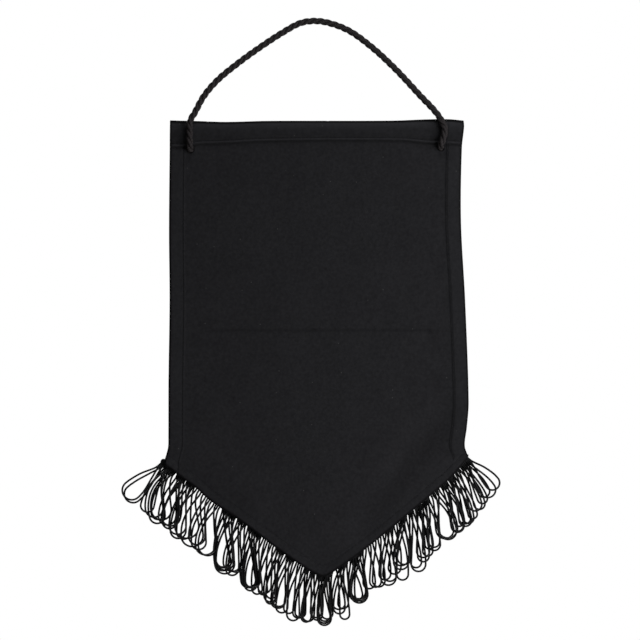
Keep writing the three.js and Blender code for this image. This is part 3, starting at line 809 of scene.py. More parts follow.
@dataclass
class HangingCord:
    """The cord from the left end of the band over the hook to the right end, with a knot behind each hole."""

    lay: CordLay = CordLay()
    diameter: float = 4.7
    step: float = 0.7
    knot_lay: CordLay = CordLay(strand_radius=0.97, strand_offset=0.93, pitch=13.0, sides=10)
    knot_ring: float = 4.0
    knot_centre: float = 5.25
    knot_rounds: int = 2
    knot_lobes: int = 3
    knot_steps: int = 96
    neck_start: float = 1.05
    neck_steps: int = 8
    tail_length: float = 16.5
    tail_turn: float = 14.0
    tail_sway: float = 0.5
    tail_bend: float = 5.0
    tail_splay: float = 0.5
    tail_steps: int = 26

    def route(self) -> list[Vector]:
        """Work out the cord's centre line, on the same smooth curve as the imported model's.

        Returns:
            Close points along it.
        """
        knots = [Vector(point) / MM for point in CORD_ROUTE]
        first, last = knots[0] * 2 - knots[1], knots[-1] * 2 - knots[-2]
        knots = [first, *knots, last]
        points = []
        for a, b, c, d in zip(knots, knots[1:], knots[2:], knots[3:]):
            steps = max(2, round((c - b).length / self.step))
            points += [self.between(a, b, c, d, k / steps) for k in range(steps)]
        return [*points, knots[-2]]

    @staticmethod
    def between(a: Vector, b: Vector, c: Vector, d: Vector, share: float) -> Vector:
        """Find a point on the centripetal Catmull-Rom curve through four points.

        Args:
            a: the point before the stretch.
            b: where the stretch starts.
            c: where it ends.
            d: the point after it.
            share: the share of the way from b to c.

        Returns:
            The point.
        """
        t1 = (b - a).length ** 0.5
        t2 = t1 + (c - b).length ** 0.5
        t3 = t2 + (d - c).length ** 0.5
        t = mix(t1, t2, share)
        ab = a * ((t1 - t) / t1) + b * (t / t1)
        bc = b * ((t2 - t) / (t2 - t1)) + c * ((t - t1) / (t2 - t1))
        cd = c * ((t3 - t) / (t3 - t2)) + d * ((t - t2) / (t3 - t2))
        abc = ab * ((t2 - t) / t2) + bc * (t / t2)
        bcd = bc * ((t3 - t) / (t3 - t1)) + cd * ((t - t1) / (t3 - t1))
        return abc * ((t2 - t) / (t2 - t1)) + bcd * ((t - t1) / (t2 - t1))

    def build(self) -> list[bpy.types.Object]:
        """Returns:
            The cord and the two knots.
        """
        route = self.route()
        strands = Shape()
        strands.laid_cord(route, self.lay, Vector((1, 0, 0)))
        cord = strands.piece("cord_strands", CORD_COTTON)
        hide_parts("hanging_cord")
        knots = [self.knot(hole) for hole in HOLES]
        return [cord, *knots]

    def knot(self, hole: Hole) -> bpy.types.Object:
        """Build the stopper knot behind one hole: the neck, the tightened bights and a short frayed tail.

        Args:
            hole: the hole that the knot keeps the cord from slipping through.

        Returns:
            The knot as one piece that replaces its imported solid.
        """
        middle = Vector((hole.x, self.knot_centre, hole.z))
        bights = []
        for i in range(self.knot_steps + 1):
            turn = 2 * math.pi * self.knot_rounds * i / self.knot_steps
            lift = turn * self.knot_lobes / self.knot_rounds
            reach = self.knot_ring * (2 + math.cos(lift)) / 2
            bights.append(middle + Vector((
                reach * math.cos(turn), -self.knot_ring * math.sin(lift) / 2, reach * math.sin(turn),
            )))
        neck = [
            Vector((hole.x, mix(self.neck_start, self.knot_centre, i / self.neck_steps), hole.z))
            for i in range(self.neck_steps + 1)
        ]
        lean = math.radians(self.tail_turn) * hole.side.value
        down = Vector((math.sin(lean), 0, -math.cos(lean)))
        tail = []
        for i in range(self.tail_steps + 1):
            share = i / self.tail_steps
            sway = Vector((0, self.tail_sway * math.sin(self.tail_bend * share), 0))
            tail.append(middle + down * (self.tail_length * share) + sway)
        shape = Shape()
        shape.laid_cord(bights, self.knot_lay, Vector((0, 1, 0)))
        shape.laid_cord(neck, self.knot_lay, Vector((1, 0, 0)))
        shape.laid_cord(tail, self.knot_lay, Vector((1, 0, 0)), splay=self.tail_splay)
        side = hole.side.name.lower()
        piece = shape.piece(f"knot_{side}_strands", CORD_COTTON)
        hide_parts(f"cord_knot_{side}")
        return piece


# Cloth


class Spot(NamedTuple):
    """A place on the cloth: where it is and how far it lies from the edges that shape it, in millimetres."""

    x: float
    z: float
    inset: float
    band: float | None
    under_band: float
    above_hem: float


# Where the cloth's columns stand over a side hem, from just inside its outer edge inwards
SIDE_INSETS = [0.45, 0.8, 1.3, 1.8, 3.2, 5.6, 8.0, 9.8, 10.5, 10.95, 11.25, 11.6, 11.9, 12.3, 13.3]
# Where its rows stand over the band, as shares of the band's depth: round top, body, then seam and lip
BAND_SHARES = [
    0, 0.008, 0.025, 0.05, 0.08, 0.12, 0.17,
    0.23, 0.3, 0.37, 0.45, 0.53, 0.6, 0.67, 0.73, 0.78, 0.815,
    0.84, 0.86, 0.88, 0.9, 0.93, 0.96, 0.985, 1.0,
]
# How far above its lower edge the rows over its lower hem stand
HEM_HEIGHTS = [8.8, 8.1, 7.6, 7.2, 6.8, 6.2, 5.2, 4.2, 3.2, 2.2, 1.4, 0.8, 0.35, 0.0]


@dataclass(frozen=True)
class PaintedLight:
    """Painted light on the felt: a painted highlight above 0 and painted shade down to -1.

    Over the band, places and reaches are shares of its depth. The others are in millimetres.
    """

    # Painted highlights on the side hems, band top and lip; painted shade in the left seam, crease, under the
    # band, rim
    side_hem: float = 0.05
    side_hem_fade: float = 0.8
    left_seam: float = -0.75
    right_seam: float = 0.05
    seam_reach: float = 1.1
    crease: float = -0.3
    crease_reach: float = 2.2
    crease_middle: float = 9.0
    crease_half: float = 96.0
    crease_fade: float = 14.0
    band_top: float = 0.42
    band_top_end: float = 0.5
    lip: float = 0.36
    lip_at: float = 0.94
    lip_reach: float = 0.035
    above_lip: float = -0.12
    above_lip_start: float = 0.45
    above_lip_rise: float = 0.3
    above_lip_end: float = 0.92
    above_lip_fall: float = 0.04
    band_depth: float = 16.0
    under_band: float = -0.6
    under_band_at: float = 0.5
    under_band_reach: float = 1.1
    rim: float = -1.0
    rim_width: float = 0.8
    rim_fade: float = 1.2
    back_share: float = 0.6


@dataclass
class BannerCloth:
    """One piece of felted cotton with turned side hems, a turned lower hem and a folded-over top band."""

    thickness: float = 1.3
    middle_columns: int = 118
    body_rows: int = 132
    crease_z: float = -239.6
    level_margin: float = 4.0
    level_share: float = 0.56
    # The painted highlights and painted shade of the felt
    nap_and_painted_light: PaintedLight = PaintedLight()

    # Edges
    edge_bulge: float = 0.25
    edge_half: float = 0.35
    edge_reach: float = 1.1
    edge_start: float = 0.05
    edge_raise: float = 0.5
    layers_from: float = 0.08
    layers_fade: float = 0.1
    hole_depth: float = 12.0
    hole_sides: int = 28

    # Side hems
    side_hem: float = 11.9
    side_raise: float = 0.85
    side_slope: float = 0.7
    seam_inset: float = 11.1
    seam_reach: float = 0.75
    seam_sink: float = 0.62
    pucker_reach: float = 7.0
    pucker: Ripple = Ripple(0.16, 4.2, 3.7)
    pucker_stretch: float = 0.2
    side_overlap: float = 0.15
    corner_lead: float = 3.0
    corner_fade: float = 7.0

    # Lower hem
    hem_lean: float = 37.0
    lower_hem: float = 9.0
    lower_turned: float = 0.7
    lower_overlap: float = 0.3
    lower_step: float = 0.8
    lower_roll: float = 0.5
    lower_seam: float = 7.2
    lower_seam_reach: float = 0.9
    lower_sink_front: float = 0.18
    lower_sink_back: float = 0.25
    lower_pucker_reach: float = 8.0
    lower_pucker: Ripple = Ripple(0.1, 4.4, 7.9)
    lower_half: float = 0.36

    # Top band
    lip_drop: float = 0.45
    band_seam: float = 0.86
    band_seam_reach: float = 0.3
    band_pucker: Ripple = Ripple(0.22, 4.6, 1.3)
    band_back_pucker: Ripple = Ripple(0.12, 4.6, 9.3)
    band_swell: Ripple = Ripple(0.16, 17.0, 5.1)
    band_ends: float = 0.3
    band_ends_overlap: float = 1.0
    band_ends_fade: float = 1.4
    fold_share: float = 0.14
    fold_forward: float = 1.4
    fold_squeeze: float = 0.45
    under_band_reach: float = 12.0
    under_band_pucker: Ripple = Ripple(0.2, 5.2, 2.2)

    # Unevenness of the whole cloth, which fades out towards the lower hem and is less in the band
    sag: Ripple = Ripple(0.34, 48.0, 11.0)
    dimples: Ripple = Ripple(0.1, 15.0, 4.0)
    calm_below: float = 6.0
    calm_fade: float = 26.0
    calm_band: float = 0.35

    @property
    def rise(self) -> float:
        """Return how far up a distance across the sloping lower hem reaches."""
        return 1 / math.cos(math.radians(self.hem_lean))

    def spots(self) -> list[list[Spot]]:
        """Lay out the places that the cloth's two faces share.

        Returns:
            The rows of places, from the fold at the top down to the lower edge.
        """
        insets = [self.edge_bulge, *SIDE_INSETS]
        columns = [(-1, inset) for inset in insets]
        columns += [(0, (i + 1) / (self.middle_columns + 1)) for i in range(self.middle_columns)]
        columns += [(1, inset) for inset in reversed(insets)]
        total = len(BAND_SHARES) + 1 + self.body_rows + len(HEM_HEIGHTS)
        return [[self.spot(r, kind, value) for kind, value in columns] for r in range(total)]

    def spot(self, r: int, kind: int, value: float) -> Spot:
        """Find the place where a row and a column of the cloth meet.

        Args:
            r: the row's number, counted from the top.
            kind: -1 or 1 for a column over the left or right side hem, 0 for one between them.
            value: how far the column stands in from the side, or its share of the way between the hems.

        Returns:
            The place.
        """
        band = BAND_SHARES[r] if r < len(BAND_SHARES) else None
        body_row = r - len(BAND_SHARES)
        x = self.column_x(kind, value, LEFT_CORNER_Z)
        # A row's height depends on x and a column's x on the height, so two passes settle both
        for _ in range(2):
            lower = lower_edge(x) + self.edge_bulge * self.rise
            top = along(TOP_EDGE, x) - self.edge_bulge
            depth = along(BAND_DEPTH, x)
            if band is not None:
                z = top - band * depth
            elif body_row <= self.body_rows:
                body_end = lower + HEM_HEIGHTS[0] * self.rise
                z = self.body_z(body_row / self.body_rows, top - depth - self.lip_drop, body_end)
            else:
                z = lower + HEM_HEIGHTS[body_row - self.body_rows - 1] * self.rise
            x = self.column_x(kind, value, max(z, LEFT_CORNER_Z))
        inset = value if kind else min(x - along(LEFT_SIDE, z), along(RIGHT_SIDE, z) - x)
        return Spot(x, z, inset, band, top - depth - z, (z - lower) / self.rise)

    @staticmethod
    def column_x(kind: int, value: float, z: float) -> float:
        """Find where a column crosses a height.

        Args:
            kind: -1 or 1 for a column over the left or right side hem, 0 for one between them.
            value: how far it stands in from the side, or its share of the way between the hems.
            z: the height.

        Returns:
            The place across.
        """
        left, right = along(LEFT_SIDE, z), along(RIGHT_SIDE, z)
        if kind:
            return left + value if kind < 0 else right - value
        return mix(left + SIDE_INSETS[-1], right - SIDE_INSETS[-1], value)

    def body_z(self, share: float, top: float, end: float) -> float:
        """Find the height of a row of the plain cloth: level down to the crease, then turning along the hem.

        Args:
            share: the row's share of the way down.
            top: the height of the first row.
            end: the height of the last row.

        Returns:
            The height.
        """
        level_end = self.crease_z - self.level_margin
        if share < self.level_share:
            return mix(top, level_end, share / self.level_share)
        return mix(level_end, end, (share - self.level_share) / (1 - self.level_share))

    def faces_at(self, spot: Spot) -> tuple[float, float]:
        """Work out how thick the cloth is at a spot.

        Args:
            spot: the place on the cloth.

        Returns:
            How far the front and the back stand from the cloth's middle.
        """
        at_side = 1 - soft((spot.inset - self.edge_bulge) / self.edge_reach)
        if spot.band is not None:
            return self.band_faces(spot, at_side)
        front = back = self.thickness / 2
        corner_z = LEFT_CORNER_Z if spot.x < 0 else RIGHT_CORNER_Z
        fade = soft((spot.z - corner_z + self.corner_lead) / self.corner_fade)
        seam = fall_off(spot.inset - self.seam_inset, self.seam_reach)
        hem = soft((self.side_hem + self.side_overlap - spot.inset) / self.side_slope)
        hem *= 1 - self.seam_sink * seam
        near_seam = fall_off(spot.inset - self.seam_inset, self.pucker_reach)
        pucker = near_seam * self.pucker.at(spot.x * self.pucker_stretch, spot.z)
        front += (self.side_raise * hem + pucker) * fade
        front += fall_off(spot.under_band, self.under_band_reach) * self.under_band_pucker.at(spot.x, 0)

        hem_up = spot.above_hem
        stitched = fall_off(hem_up - self.lower_seam, self.lower_seam_reach)
        near_stitches = fall_off(hem_up - self.lower_seam, self.lower_pucker_reach)
        front += self.lower_roll * soft((self.lower_hem - hem_up) / self.lower_hem)
        front += near_stitches * self.lower_pucker.at(spot.x, spot.z) - self.lower_sink_front * stitched
        back += self.lower_turned * soft((self.lower_hem + self.lower_overlap - hem_up) / self.lower_step)
        back -= self.lower_sink_back * stitched

        at_hem = 1 - soft((hem_up - self.edge_start) / self.edge_reach)
        front, back = mix(front, self.lower_half, at_hem), mix(back, self.lower_half, at_hem)
        front = mix(front, self.edge_half + self.side_raise * self.edge_raise * fade, at_side)
        return front, mix(back, self.edge_half, at_side)

    def band_faces(self, spot: Spot, at_side: float) -> tuple[float, float]:
        """Work out how thick the folded band is at a spot.

        Args:
            spot: the place on the band.
            at_side: 1 at the band's end, falling to 0 a little way in.

        Returns:
            How far the front and the back stand from the cloth's middle.
        """
        tight = fall_off(spot.band - self.band_seam, self.band_seam_reach)
        front = along(BAND_FRONT, spot.band) + self.band_swell.at(spot.x, spot.z)
        past_hem = self.side_hem + self.band_ends_overlap - spot.inset
        front += self.band_ends * soft(past_hem / self.band_ends_fade)
        front += tight * self.band_pucker.at(spot.x, 0)
        back = along(BAND_BACK, spot.band) + tight * self.band_back_pucker.at(spot.x, 0)
        rounding = math.sqrt(1 - (1 - min(spot.band / self.fold_share, 1)) ** 2)
        squeeze = self.fold_squeeze * at_side * rounding
        front = mix(self.fold_forward, front, rounding) - squeeze
        return front, mix(-self.fold_forward, back, rounding) - squeeze

    def middle(self, spot: Spot) -> float:
        """Find the middle of the cloth with its soft unevenness.

        Args:
            spot: the place on the cloth.

        Returns:
            How far it lies behind y = 0.
        """
        calm = soft((spot.above_hem - self.calm_below) / self.calm_fade)
        if spot.band is not None:
            calm = self.calm_band
        return drift(spot.x, spot.z) + calm * (self.sag.at(spot.x, spot.z) + self.dimples.at(spot.x, spot.z))

    def painted_light_at(self, spot: Spot, face: Face) -> float:
        """Work out the painted highlight and painted shade at a spot.

        Args:
            spot: the place on the cloth.
            face: which of its two faces.

        Returns:
            The number that the felt reads as its attribute.
        """
        nap_and_painted_light = self.nap_and_painted_light
        rim = min(spot.inset, spot.above_hem)
        if spot.band is None:
            # Painted shade in the left seam and the crease, a faint painted highlight over the side hems and
            # the right seam
            seam = nap_and_painted_light.left_seam if spot.x < 0 else nap_and_painted_light.right_seam
            along_crease = soft((nap_and_painted_light.crease_half - abs(spot.x - nap_and_painted_light.crease_middle)) / nap_and_painted_light.crease_fade)
            value = nap_and_painted_light.side_hem * soft((self.side_hem - spot.inset) / nap_and_painted_light.side_hem_fade)
            value += seam * fall_off(spot.inset - self.seam_inset, nap_and_painted_light.seam_reach)
            value += nap_and_painted_light.crease * along_crease * fall_off(spot.z - self.crease_z, nap_and_painted_light.crease_reach)
        else:
            rim = min(spot.inset, spot.band * nap_and_painted_light.band_depth)
            # On the band: painted highlights on its top and its lip, painted shade on its lower half above the
            # lip
            above_lip = soft((spot.band - nap_and_painted_light.above_lip_start) / nap_and_painted_light.above_lip_rise)
            above_lip *= soft((nap_and_painted_light.above_lip_end - spot.band) / nap_and_painted_light.above_lip_fall)
            value = nap_and_painted_light.band_top * soft((nap_and_painted_light.band_top_end - spot.band) / nap_and_painted_light.band_top_end)
            value += nap_and_painted_light.lip * fall_off(spot.band - nap_and_painted_light.lip_at, nap_and_painted_light.lip_reach)
            value += nap_and_painted_light.above_lip * above_lip
        # Painted shade under the band
        value += nap_and_painted_light.under_band * fall_off(spot.under_band - nap_and_painted_light.under_band_at, nap_and_painted_light.under_band_reach)
        if face is Face.BACK:
            value *= nap_and_painted_light.back_share
        # Painted shade along the cut edge, the rim
        at_rim = 1 - soft((rim - nap_and_painted_light.rim_width) / nap_and_painted_light.rim_fade)
        return max(mix(value, nap_and_painted_light.rim, at_rim), nap_and_painted_light.rim)

    def build(self) -> bpy.types.Object:
        """Build the cloth and cut the two cord holes in it.

        Returns:
            The cloth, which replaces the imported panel.
        """
        rows = self.spots()
        down, across = len(rows), len(rows[0])
        count = down * across
        shape = Shape()
        backs, fronts = [], []
        for spot in (spot for row in rows for spot in row):
            front, back = self.faces_at(spot)
            middle = self.middle(spot)
            fronts.append((spot.x, middle - front, spot.z))
            backs.append((spot.x, middle + back, spot.z))
            # Each point gets its painted highlight and painted shade, less of them on the back
            shape.painted_light.append(self.painted_light_at(spot, Face.FRONT))
        shape.points = fronts + backs
        shape.painted_light += [self.painted_light_at(spot, Face.BACK) for row in rows for spot in row]
        for r in range(down - 1):
            for c in range(across - 1):
                a = r * across + c
                shape.faces.append((a, a + across, a + across + 1, a + 1))
                shape.faces.append((count + a, count + a + 1, count + a + across + 1, count + a + across))
        self.close_edge(shape, rows, fronts, backs)
        cloth = shape.piece("panel_cloth", FELT)
        for hole in HOLES:
            self.cut_hole(cloth, hole)
        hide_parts("panel")
        log.info("panel_cloth after its holes: %d faces", len(cloth.data.polygons))
        return cloth

    def close_edge(self, shape: Shape, rows: list[list[Spot]], fronts: list, backs: list) -> None:
        """Close the cloth's outline with a round edge, and with the edges of its layers at the band's ends.

        Args:
            shape: the cloth so far, which gets the edge.
            rows: its places.
            fronts: the points of its front.
            backs: the points of its back.
        """
        down, across = len(rows), len(rows[0])
        count = down * across
        outline = [(0, c) for c in range(across - 1)] + [(r, across - 1) for r in range(down - 1)]
        outline += [(down - 1, c) for c in range(across - 1, 0, -1)]
        outline += [(r, 0) for r in range(down - 1, 0, -1)]
        # Points round the edge by their share of the way from front to back and how far they stand out
        plain = [(0.12, 0.5), (0.3, 0.86), (0.5, 1.0), (0.7, 0.86), (0.88, 0.5)]
        layered = [(0.14, 0.8), (0.32, -3.6), (0.5, 0.9), (0.68, -3.6), (0.86, 0.8)]
        base = len(shape.points)
        rim = len(outline)
        for i, (r, c) in enumerate(outline):
            before, after = outline[i - 1], outline[(i + 1) % rim]
            a, b = rows[before[0]][before[1]], rows[after[0]][after[1]]
            out = Vector((a.z - b.z, b.x - a.x)).normalized()
            band = rows[r][c].band
            at_end = band is not None and c in (0, across - 1)
            in_layers = soft((band - self.layers_from) / self.layers_fade) if at_end else 0.0
            front, back = fronts[r * across + c], backs[r * across + c]
            for (share, bulge), (layer_share, layer_bulge) in zip(plain, layered):
                push = self.edge_bulge * mix(bulge, layer_bulge, in_layers)
                y = mix(front[1], back[1], mix(share, layer_share, in_layers))
                shape.points.append((front[0] + out.x * push, y, front[2] + out.y * push))
                # The round edge gets the full painted shade of the rim
                shape.painted_light.append(self.nap_and_painted_light.rim)
        corners = [
            [r * across + c, *(base + i * len(plain) + k for k in range(len(plain))), count + r * across + c]
            for i, (r, c) in enumerate(outline)
        ]
        for here, there in zip(corners, [*corners[1:], corners[0]]):
            for k in range(len(plain) + 1):
                shape.faces.append((here[k], there[k], there[k + 1], here[k + 1]))

    def cut_hole(self, cloth: bpy.types.Object, hole: Hole) -> None:
        """Cut the round hole that the cord goes through.

        Args:
            cloth: the cloth.
            hole: where the hole is.
        """
        bpy.ops.object.select_all(action="DESELECT")
        bpy.ops.mesh.primitive_cylinder_add(
            vertices=self.hole_sides, radius=HOLE_RADIUS * MM, depth=self.hole_depth * MM,
            location=(hole.x * MM, 0, hole.z * MM), rotation=(math.pi / 2, 0, 0),
        )
        punch = bpy.context.object
        only(cloth)
        cut = cloth.modifiers.new("cord_hole", "BOOLEAN")
        cut.operation, cut.object, cut.solver = "DIFFERENCE", punch, "EXACT"
        bpy.ops.object.modifier_apply(modifier=cut.name)
        bpy.data.objects.remove(punch, do_unlink=True)

    def surface_at(self, x: float, z: float, face: Face) -> float:
        """Find one face of the cloth at a place, for what is sewn on it.

        Args:
            x: the place across.
            z: the place up.
            face: which of the two faces.

        Returns:
            The y of the face there.
        """
        top = along(TOP_EDGE, x) - self.edge_bulge
        depth = along(BAND_DEPTH, x)
        inset = min(x - along(LEFT_SIDE, z), along(RIGHT_SIDE, z) - x)
        share = (top - z) / depth
        above = (z - lower_edge(x) - self.edge_bulge) / self.rise
        spot = Spot(x, z, inset, share if share <= 1 else None, top - depth - z, above)
        front, back = self.faces_at(spot)
        return self.middle(spot) + (-front if face is Face.FRONT else back)


# Stitches


@dataclass
class Stitches:
    """Lockstitch seams: short thread stitches on both faces that sink into the cloth at their ends."""

    cloth: BannerCloth
    pitch: float = 3.1
    length: float = 2.5
    radius: float = 0.2
    thinning: float = 0.45
    lift: float = 0.11
    sink: float = 0.34
    sides: int = 6
    steps: int = 6
    side_seam: tuple[float, float] = (-97.5, -341.0)
    band_seam: tuple[float, float] = (-112.0, 115.0)
    lower_seam: tuple[float, float] = (-108.0, 111.0)
    side_points: int = 60
    band_points: int = 120

    def seam(self, shape: Shape, line: list[tuple[float, float]], face: Face) -> None:
        """Add the stitches of one seam on one face.

        Args:
            shape: what the stitches are added to.
            line: places across and up along the seam.
            face: the face of the cloth that they lie on.
        """
        spots = [Vector(place) for place in line]
        run = 0.0
        reach = self.pitch / 2
        for a, b in zip(spots, spots[1:]):
            span = (b - a).length
            while reach < run + span:
                at = a + (b - a) * ((reach - run) / span)
                self.stitch(shape, at, (b - a).normalized(), face)
                reach += self.pitch
            run += span

    def stitch(self, shape: Shape, at: Vector, way: Vector, face: Face) -> None:
        """Add one stitch: a short arched thread, thin at its sunken ends.

        Args:
            shape: what the stitch is added to.
            at: the middle of the stitch, across and up.
            way: the direction of the seam there.
            face: the face of the cloth that it lies on.
        """

        def thickness(share: float) -> float:
            """Return the thread's radius at a share of the stitch."""
            return self.radius * (1 - self.thinning * abs(2 * share - 1) ** 4)

        path = []
        for i in range(self.steps + 1):
            share = i / self.steps
            place = at + way * (self.length * (share - 0.5))
            lift = self.lift - self.sink * abs(2 * share - 1) ** 3
            y = self.cloth.surface_at(place.x, place.y, face) + face.value * lift
            path.append(Vector((place.x, y, place.y)))
        shape.tube(path, thickness, self.sides, Vector((0, 1, 0)))

    def build(self) -> bpy.types.Object:
        """Build the seams of the side hems, the band and the lower hem.

        Returns:
            The stitches as one piece.
        """
        cloth = self.cloth
        shape = Shape()
        levels = [mix(*self.side_seam, i / self.side_points) for i in range(self.side_points + 1)]
        across = [mix(*self.band_seam, i / self.band_points) for i in range(self.band_points + 1)]
        left, right = self.lower_seam
        sides = [
            [(along(LEFT_SIDE, z) + cloth.seam_inset, z) for z in levels],
            [(along(RIGHT_SIDE, z) - cloth.seam_inset, z) for z in levels],
        ]
        band = [
            (x, along(TOP_EDGE, x) - cloth.edge_bulge - cloth.band_seam * along(BAND_DEPTH, x))
            for x in across
        ]
        lower = [(x, lower_edge(x) + cloth.lower_seam * cloth.rise) for x in across if left < x < right]
        for line in (*sides, band, lower):
            self.seam(shape, line, Face.FRONT)
        for line in (*sides, band):
            self.seam(shape, line, Face.BACK)
        return shape.piece("hem_stitches", SEWING_THREAD)


# Fringe

# The tape's lower and upper edge above the cloth's lower edge, by x
TAPE_LOW = [
    (-121.2, 0.2), (-117, 0.6), (-111, 1.6), (-100, 1.8), (104, 1.8), (112, 1.8), (117, 1.4), (120.2, 0.6),
]
TAPE_HIGH = [
    (-121.2, 2.4), (-117, 5), (-111, 9), (-100, 9.4), (104, 9.4), (112, 8.6), (117, 6), (120.2, 2.2),
]
# The tape's section with rounded edges, by the shares of its height and thickness
TAPE_SECTION = [
    (0.0, 0.25), (0.0, 0.75), (0.12, 0.95), (0.5, 1.0), (0.88, 0.95), (1.0, 0.75), (1.0, 0.25), (0.88, 0.05),
    (0.5, 0.0), (0.12, 0.05),
]


class Loop(NamedTuple):
    """One loop of yarn, seen from the front.

    It leaves the tape at root, on which the hem runs along ahead, and ends at end. It bows to the right and
    swerves a little more, and lies in the layer at depth behind the tape's middle.
    """

    x: float
    root: Vector
    ahead: Vector
    end: Vector
    radius: float
    bow: float
    swerve: float
    depth: float


@dataclass
class Fringe:
    """Uncut loops of yarn on a narrow woven tape that is sewn behind the lower hem."""

    cloth: BannerCloth
    yarn_radius: float = 0.765
    yarn_sides: int = 8
    map_shift: float = 3.7
    leg_steps: int = 18
    bottom_steps: int = 16
    layers: int = 8
    layer_stride: int = 3
    layer_gap: float = 1.5
    front_clear: float = 3.0
    back_clear: float = 0.5
    step_length: float = 5.0
    turn_length: float = 12.0
    open_from: float = 4.0
    leg_open: float = 1.15
    waver: float = 0.35
    waver_length: float = 11.0
    waver_start: float = 6.0
    waver_rise: float = 10.0
    waver_fall: float = 8.0
    loop_stride: float = 3.1
    leg_stride: float = 0.7
    waver_seed: float = 2.0
    root_depth: float = 2.0
    tape_thickness: float = 1.2
    tape_gap: float = 0.6
    tape_ends: tuple[float, float] = (-119.4, 120.2)
    tape_stations: int = 260
    curl_x: float = -118.5
    curl_reach: tuple[float, float] = (1.875, 1.425)
    curl_radius: float = 0.85
    curl_sides: int = 10
    curl_start: float = -40.0
    curl_turn: float = 374.0
    curl_steps: int = 22
    curl_back: float = 1.1

    def tape_at(self, x: float) -> tuple[float, float, float, float]:
        """Find the tape at a place across.

        Args:
            x: the place across.

        Returns:
            The height of its lower and upper edge, and the y of its front at each.
        """
        low = lower_edge(x) + along(TAPE_LOW, x)
        high = lower_edge(x) + along(TAPE_HIGH, x)
        offset = self.cloth.thickness / 2 + self.cloth.lower_turned + self.tape_gap
        return low, high, drift(x, low) + offset, drift(x, high) + offset

    def loops(self) -> list[Loop]:
        """Lay out every loop of the fringe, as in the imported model.

        Returns:
            The loops from left to right.
        """

        def root_at(x: float) -> Vector:
            """Return the place on the tape's lower edge at x."""
            return Vector((x, self.tape_at(x)[0]))

        most_length = Stray.LENGTH.value[0]
        loops: list[Loop] = []
        for bunch in BUNCHES:
            pitch = (bunch.end - bunch.start) / bunch.loops
            centre = root_at((bunch.start + bunch.end) / 2)
            fall = (Vector((bunch.x, bunch.z)) - centre) * (1 - bunch.stray * most_length / 2)
            for j in range(bunch.loops):
                i = len(loops)
                x = bunch.start + (j + 0.5) * pitch
                root = root_at(x)
                ahead = root_at(x + pitch / 4) - root_at(x - pitch / 4)
                end = centre + (root - centre) * bunch.gather
                end += fall * (1 + bunch.stray * Stray.LENGTH.at(i))
                end += ahead.normalized() * (bunch.stray * Stray.ALONG.at(i))
                radius = bunch.width / 2 * (1 + bunch.stray * Stray.WIDTH.at(i))
                swerve = bunch.stray * Stray.SWERVE.at(i)
                layer = i * self.layer_stride % self.layers - (self.layers - 1) / 2
                loops.append(Loop(x, root, ahead, end, radius, bunch.bow, swerve, layer * self.layer_gap))
        return loops

    def loop_path(self, i: int, loop: Loop) -> list[Vector]:
        """Work out a loop's centre line: down its left leg, round its end and up its right leg into the tape.

        Args:
            i: the loop's number, which sets how it wavers.
            loop: the loop.

        Returns:
            Close points of the centre line.
        """
        chord = loop.end - loop.root
        length = chord.length
        leg_length = length - loop.radius
        right = Vector((-chord.y, chord.x)) / length
        hem = loop.ahead.normalized()
        root_width = loop.ahead.length / 2
        tape_y = self.tape_at(loop.x)[2] + self.tape_thickness / 2

        def middle(down: float) -> tuple[Vector, Vector, Vector]:
            """Work out the line midway between the legs.

            Args:
                down: how far down it to look.

            Returns:
                The place there, the line's direction and the way across it.
            """
            share = down / length
            swell = 4 * share * (1 - share)
            slope = 4 * (1 - 2 * share) * (loop.bow + 2 * loop.swerve * swell)
            point = loop.root + chord * share + right * (loop.bow * swell + loop.swerve * swell * swell)
            ahead = (chord + right * slope).normalized()
            return point, ahead, Vector((-ahead.y, ahead.x))

        def in_layer(flat: Vector, down: float) -> Vector:
            """Return a place seen from the front, moved back into the loop's layer as it leaves the tape."""
            free = down - (self.front_clear if loop.depth < 0 else self.back_clear)
            return Vector((flat.x, tape_y + loop.depth * soft(free / self.step_length), flat.y))

        def leg(side: float) -> list[Vector]:
            """Work out one leg from the tape down.

            Args:
                side: -1 for the left leg or 1 for the right one.

            Returns:
                Close points of its centre line.
            """
            points = []
            for k in range(self.leg_steps):
                down = mix(-self.root_depth, leg_length, k / self.leg_steps)
                opened = max(down - self.open_from, 0) / (leg_length - self.open_from)
                width = mix(root_width, loop.radius, math.sin(math.pi / 2 * opened**self.leg_open))
                point, _, across = middle(down)
                free = soft((down - self.waver_start) / self.waver_rise)
                free *= soft((leg_length - down) / self.waver_fall)
                own = i * self.loop_stride + side * self.leg_stride
                tremble = noise.noise(Vector((own, down / self.waver_length, self.waver_seed)))
                width += free * self.waver * tremble
                away = hem.lerp(across, soft(down / self.turn_length)) * (side * width)
                points.append(in_layer(point + away, down))
            return points

        point, ahead, across = middle(leg_length)
        bottom = []
        for k in range(self.bottom_steps + 1):
            turn = math.pi * k / self.bottom_steps
            reach = ahead * math.sin(turn) - across * math.cos(turn)
            bottom.append(in_layer(point + reach * loop.radius, leg_length))
        return [*leg(-1), *bottom, *reversed(leg(1))]

    def curled_end(self) -> list[Vector]:
        """Work out the tape's left end, which has rolled into a small ring beside the cloth.

        Returns:
            Points of the ring's centre line.
        """
        low, high, low_y, _ = self.tape_at(self.curl_x)
        middle = Vector((self.curl_x, low_y + self.tape_thickness / 2, mix(low, high, 0.5)))
        path = []
        for k in range(self.curl_steps + 1):
            share = k / self.curl_steps
            turn = math.radians(self.curl_start + self.curl_turn * share)
            reach = mix(*self.curl_reach, share)
            around = Vector((reach * math.cos(turn), self.curl_back * share, reach * math.sin(turn)))
            path.append(middle + around)
        return path

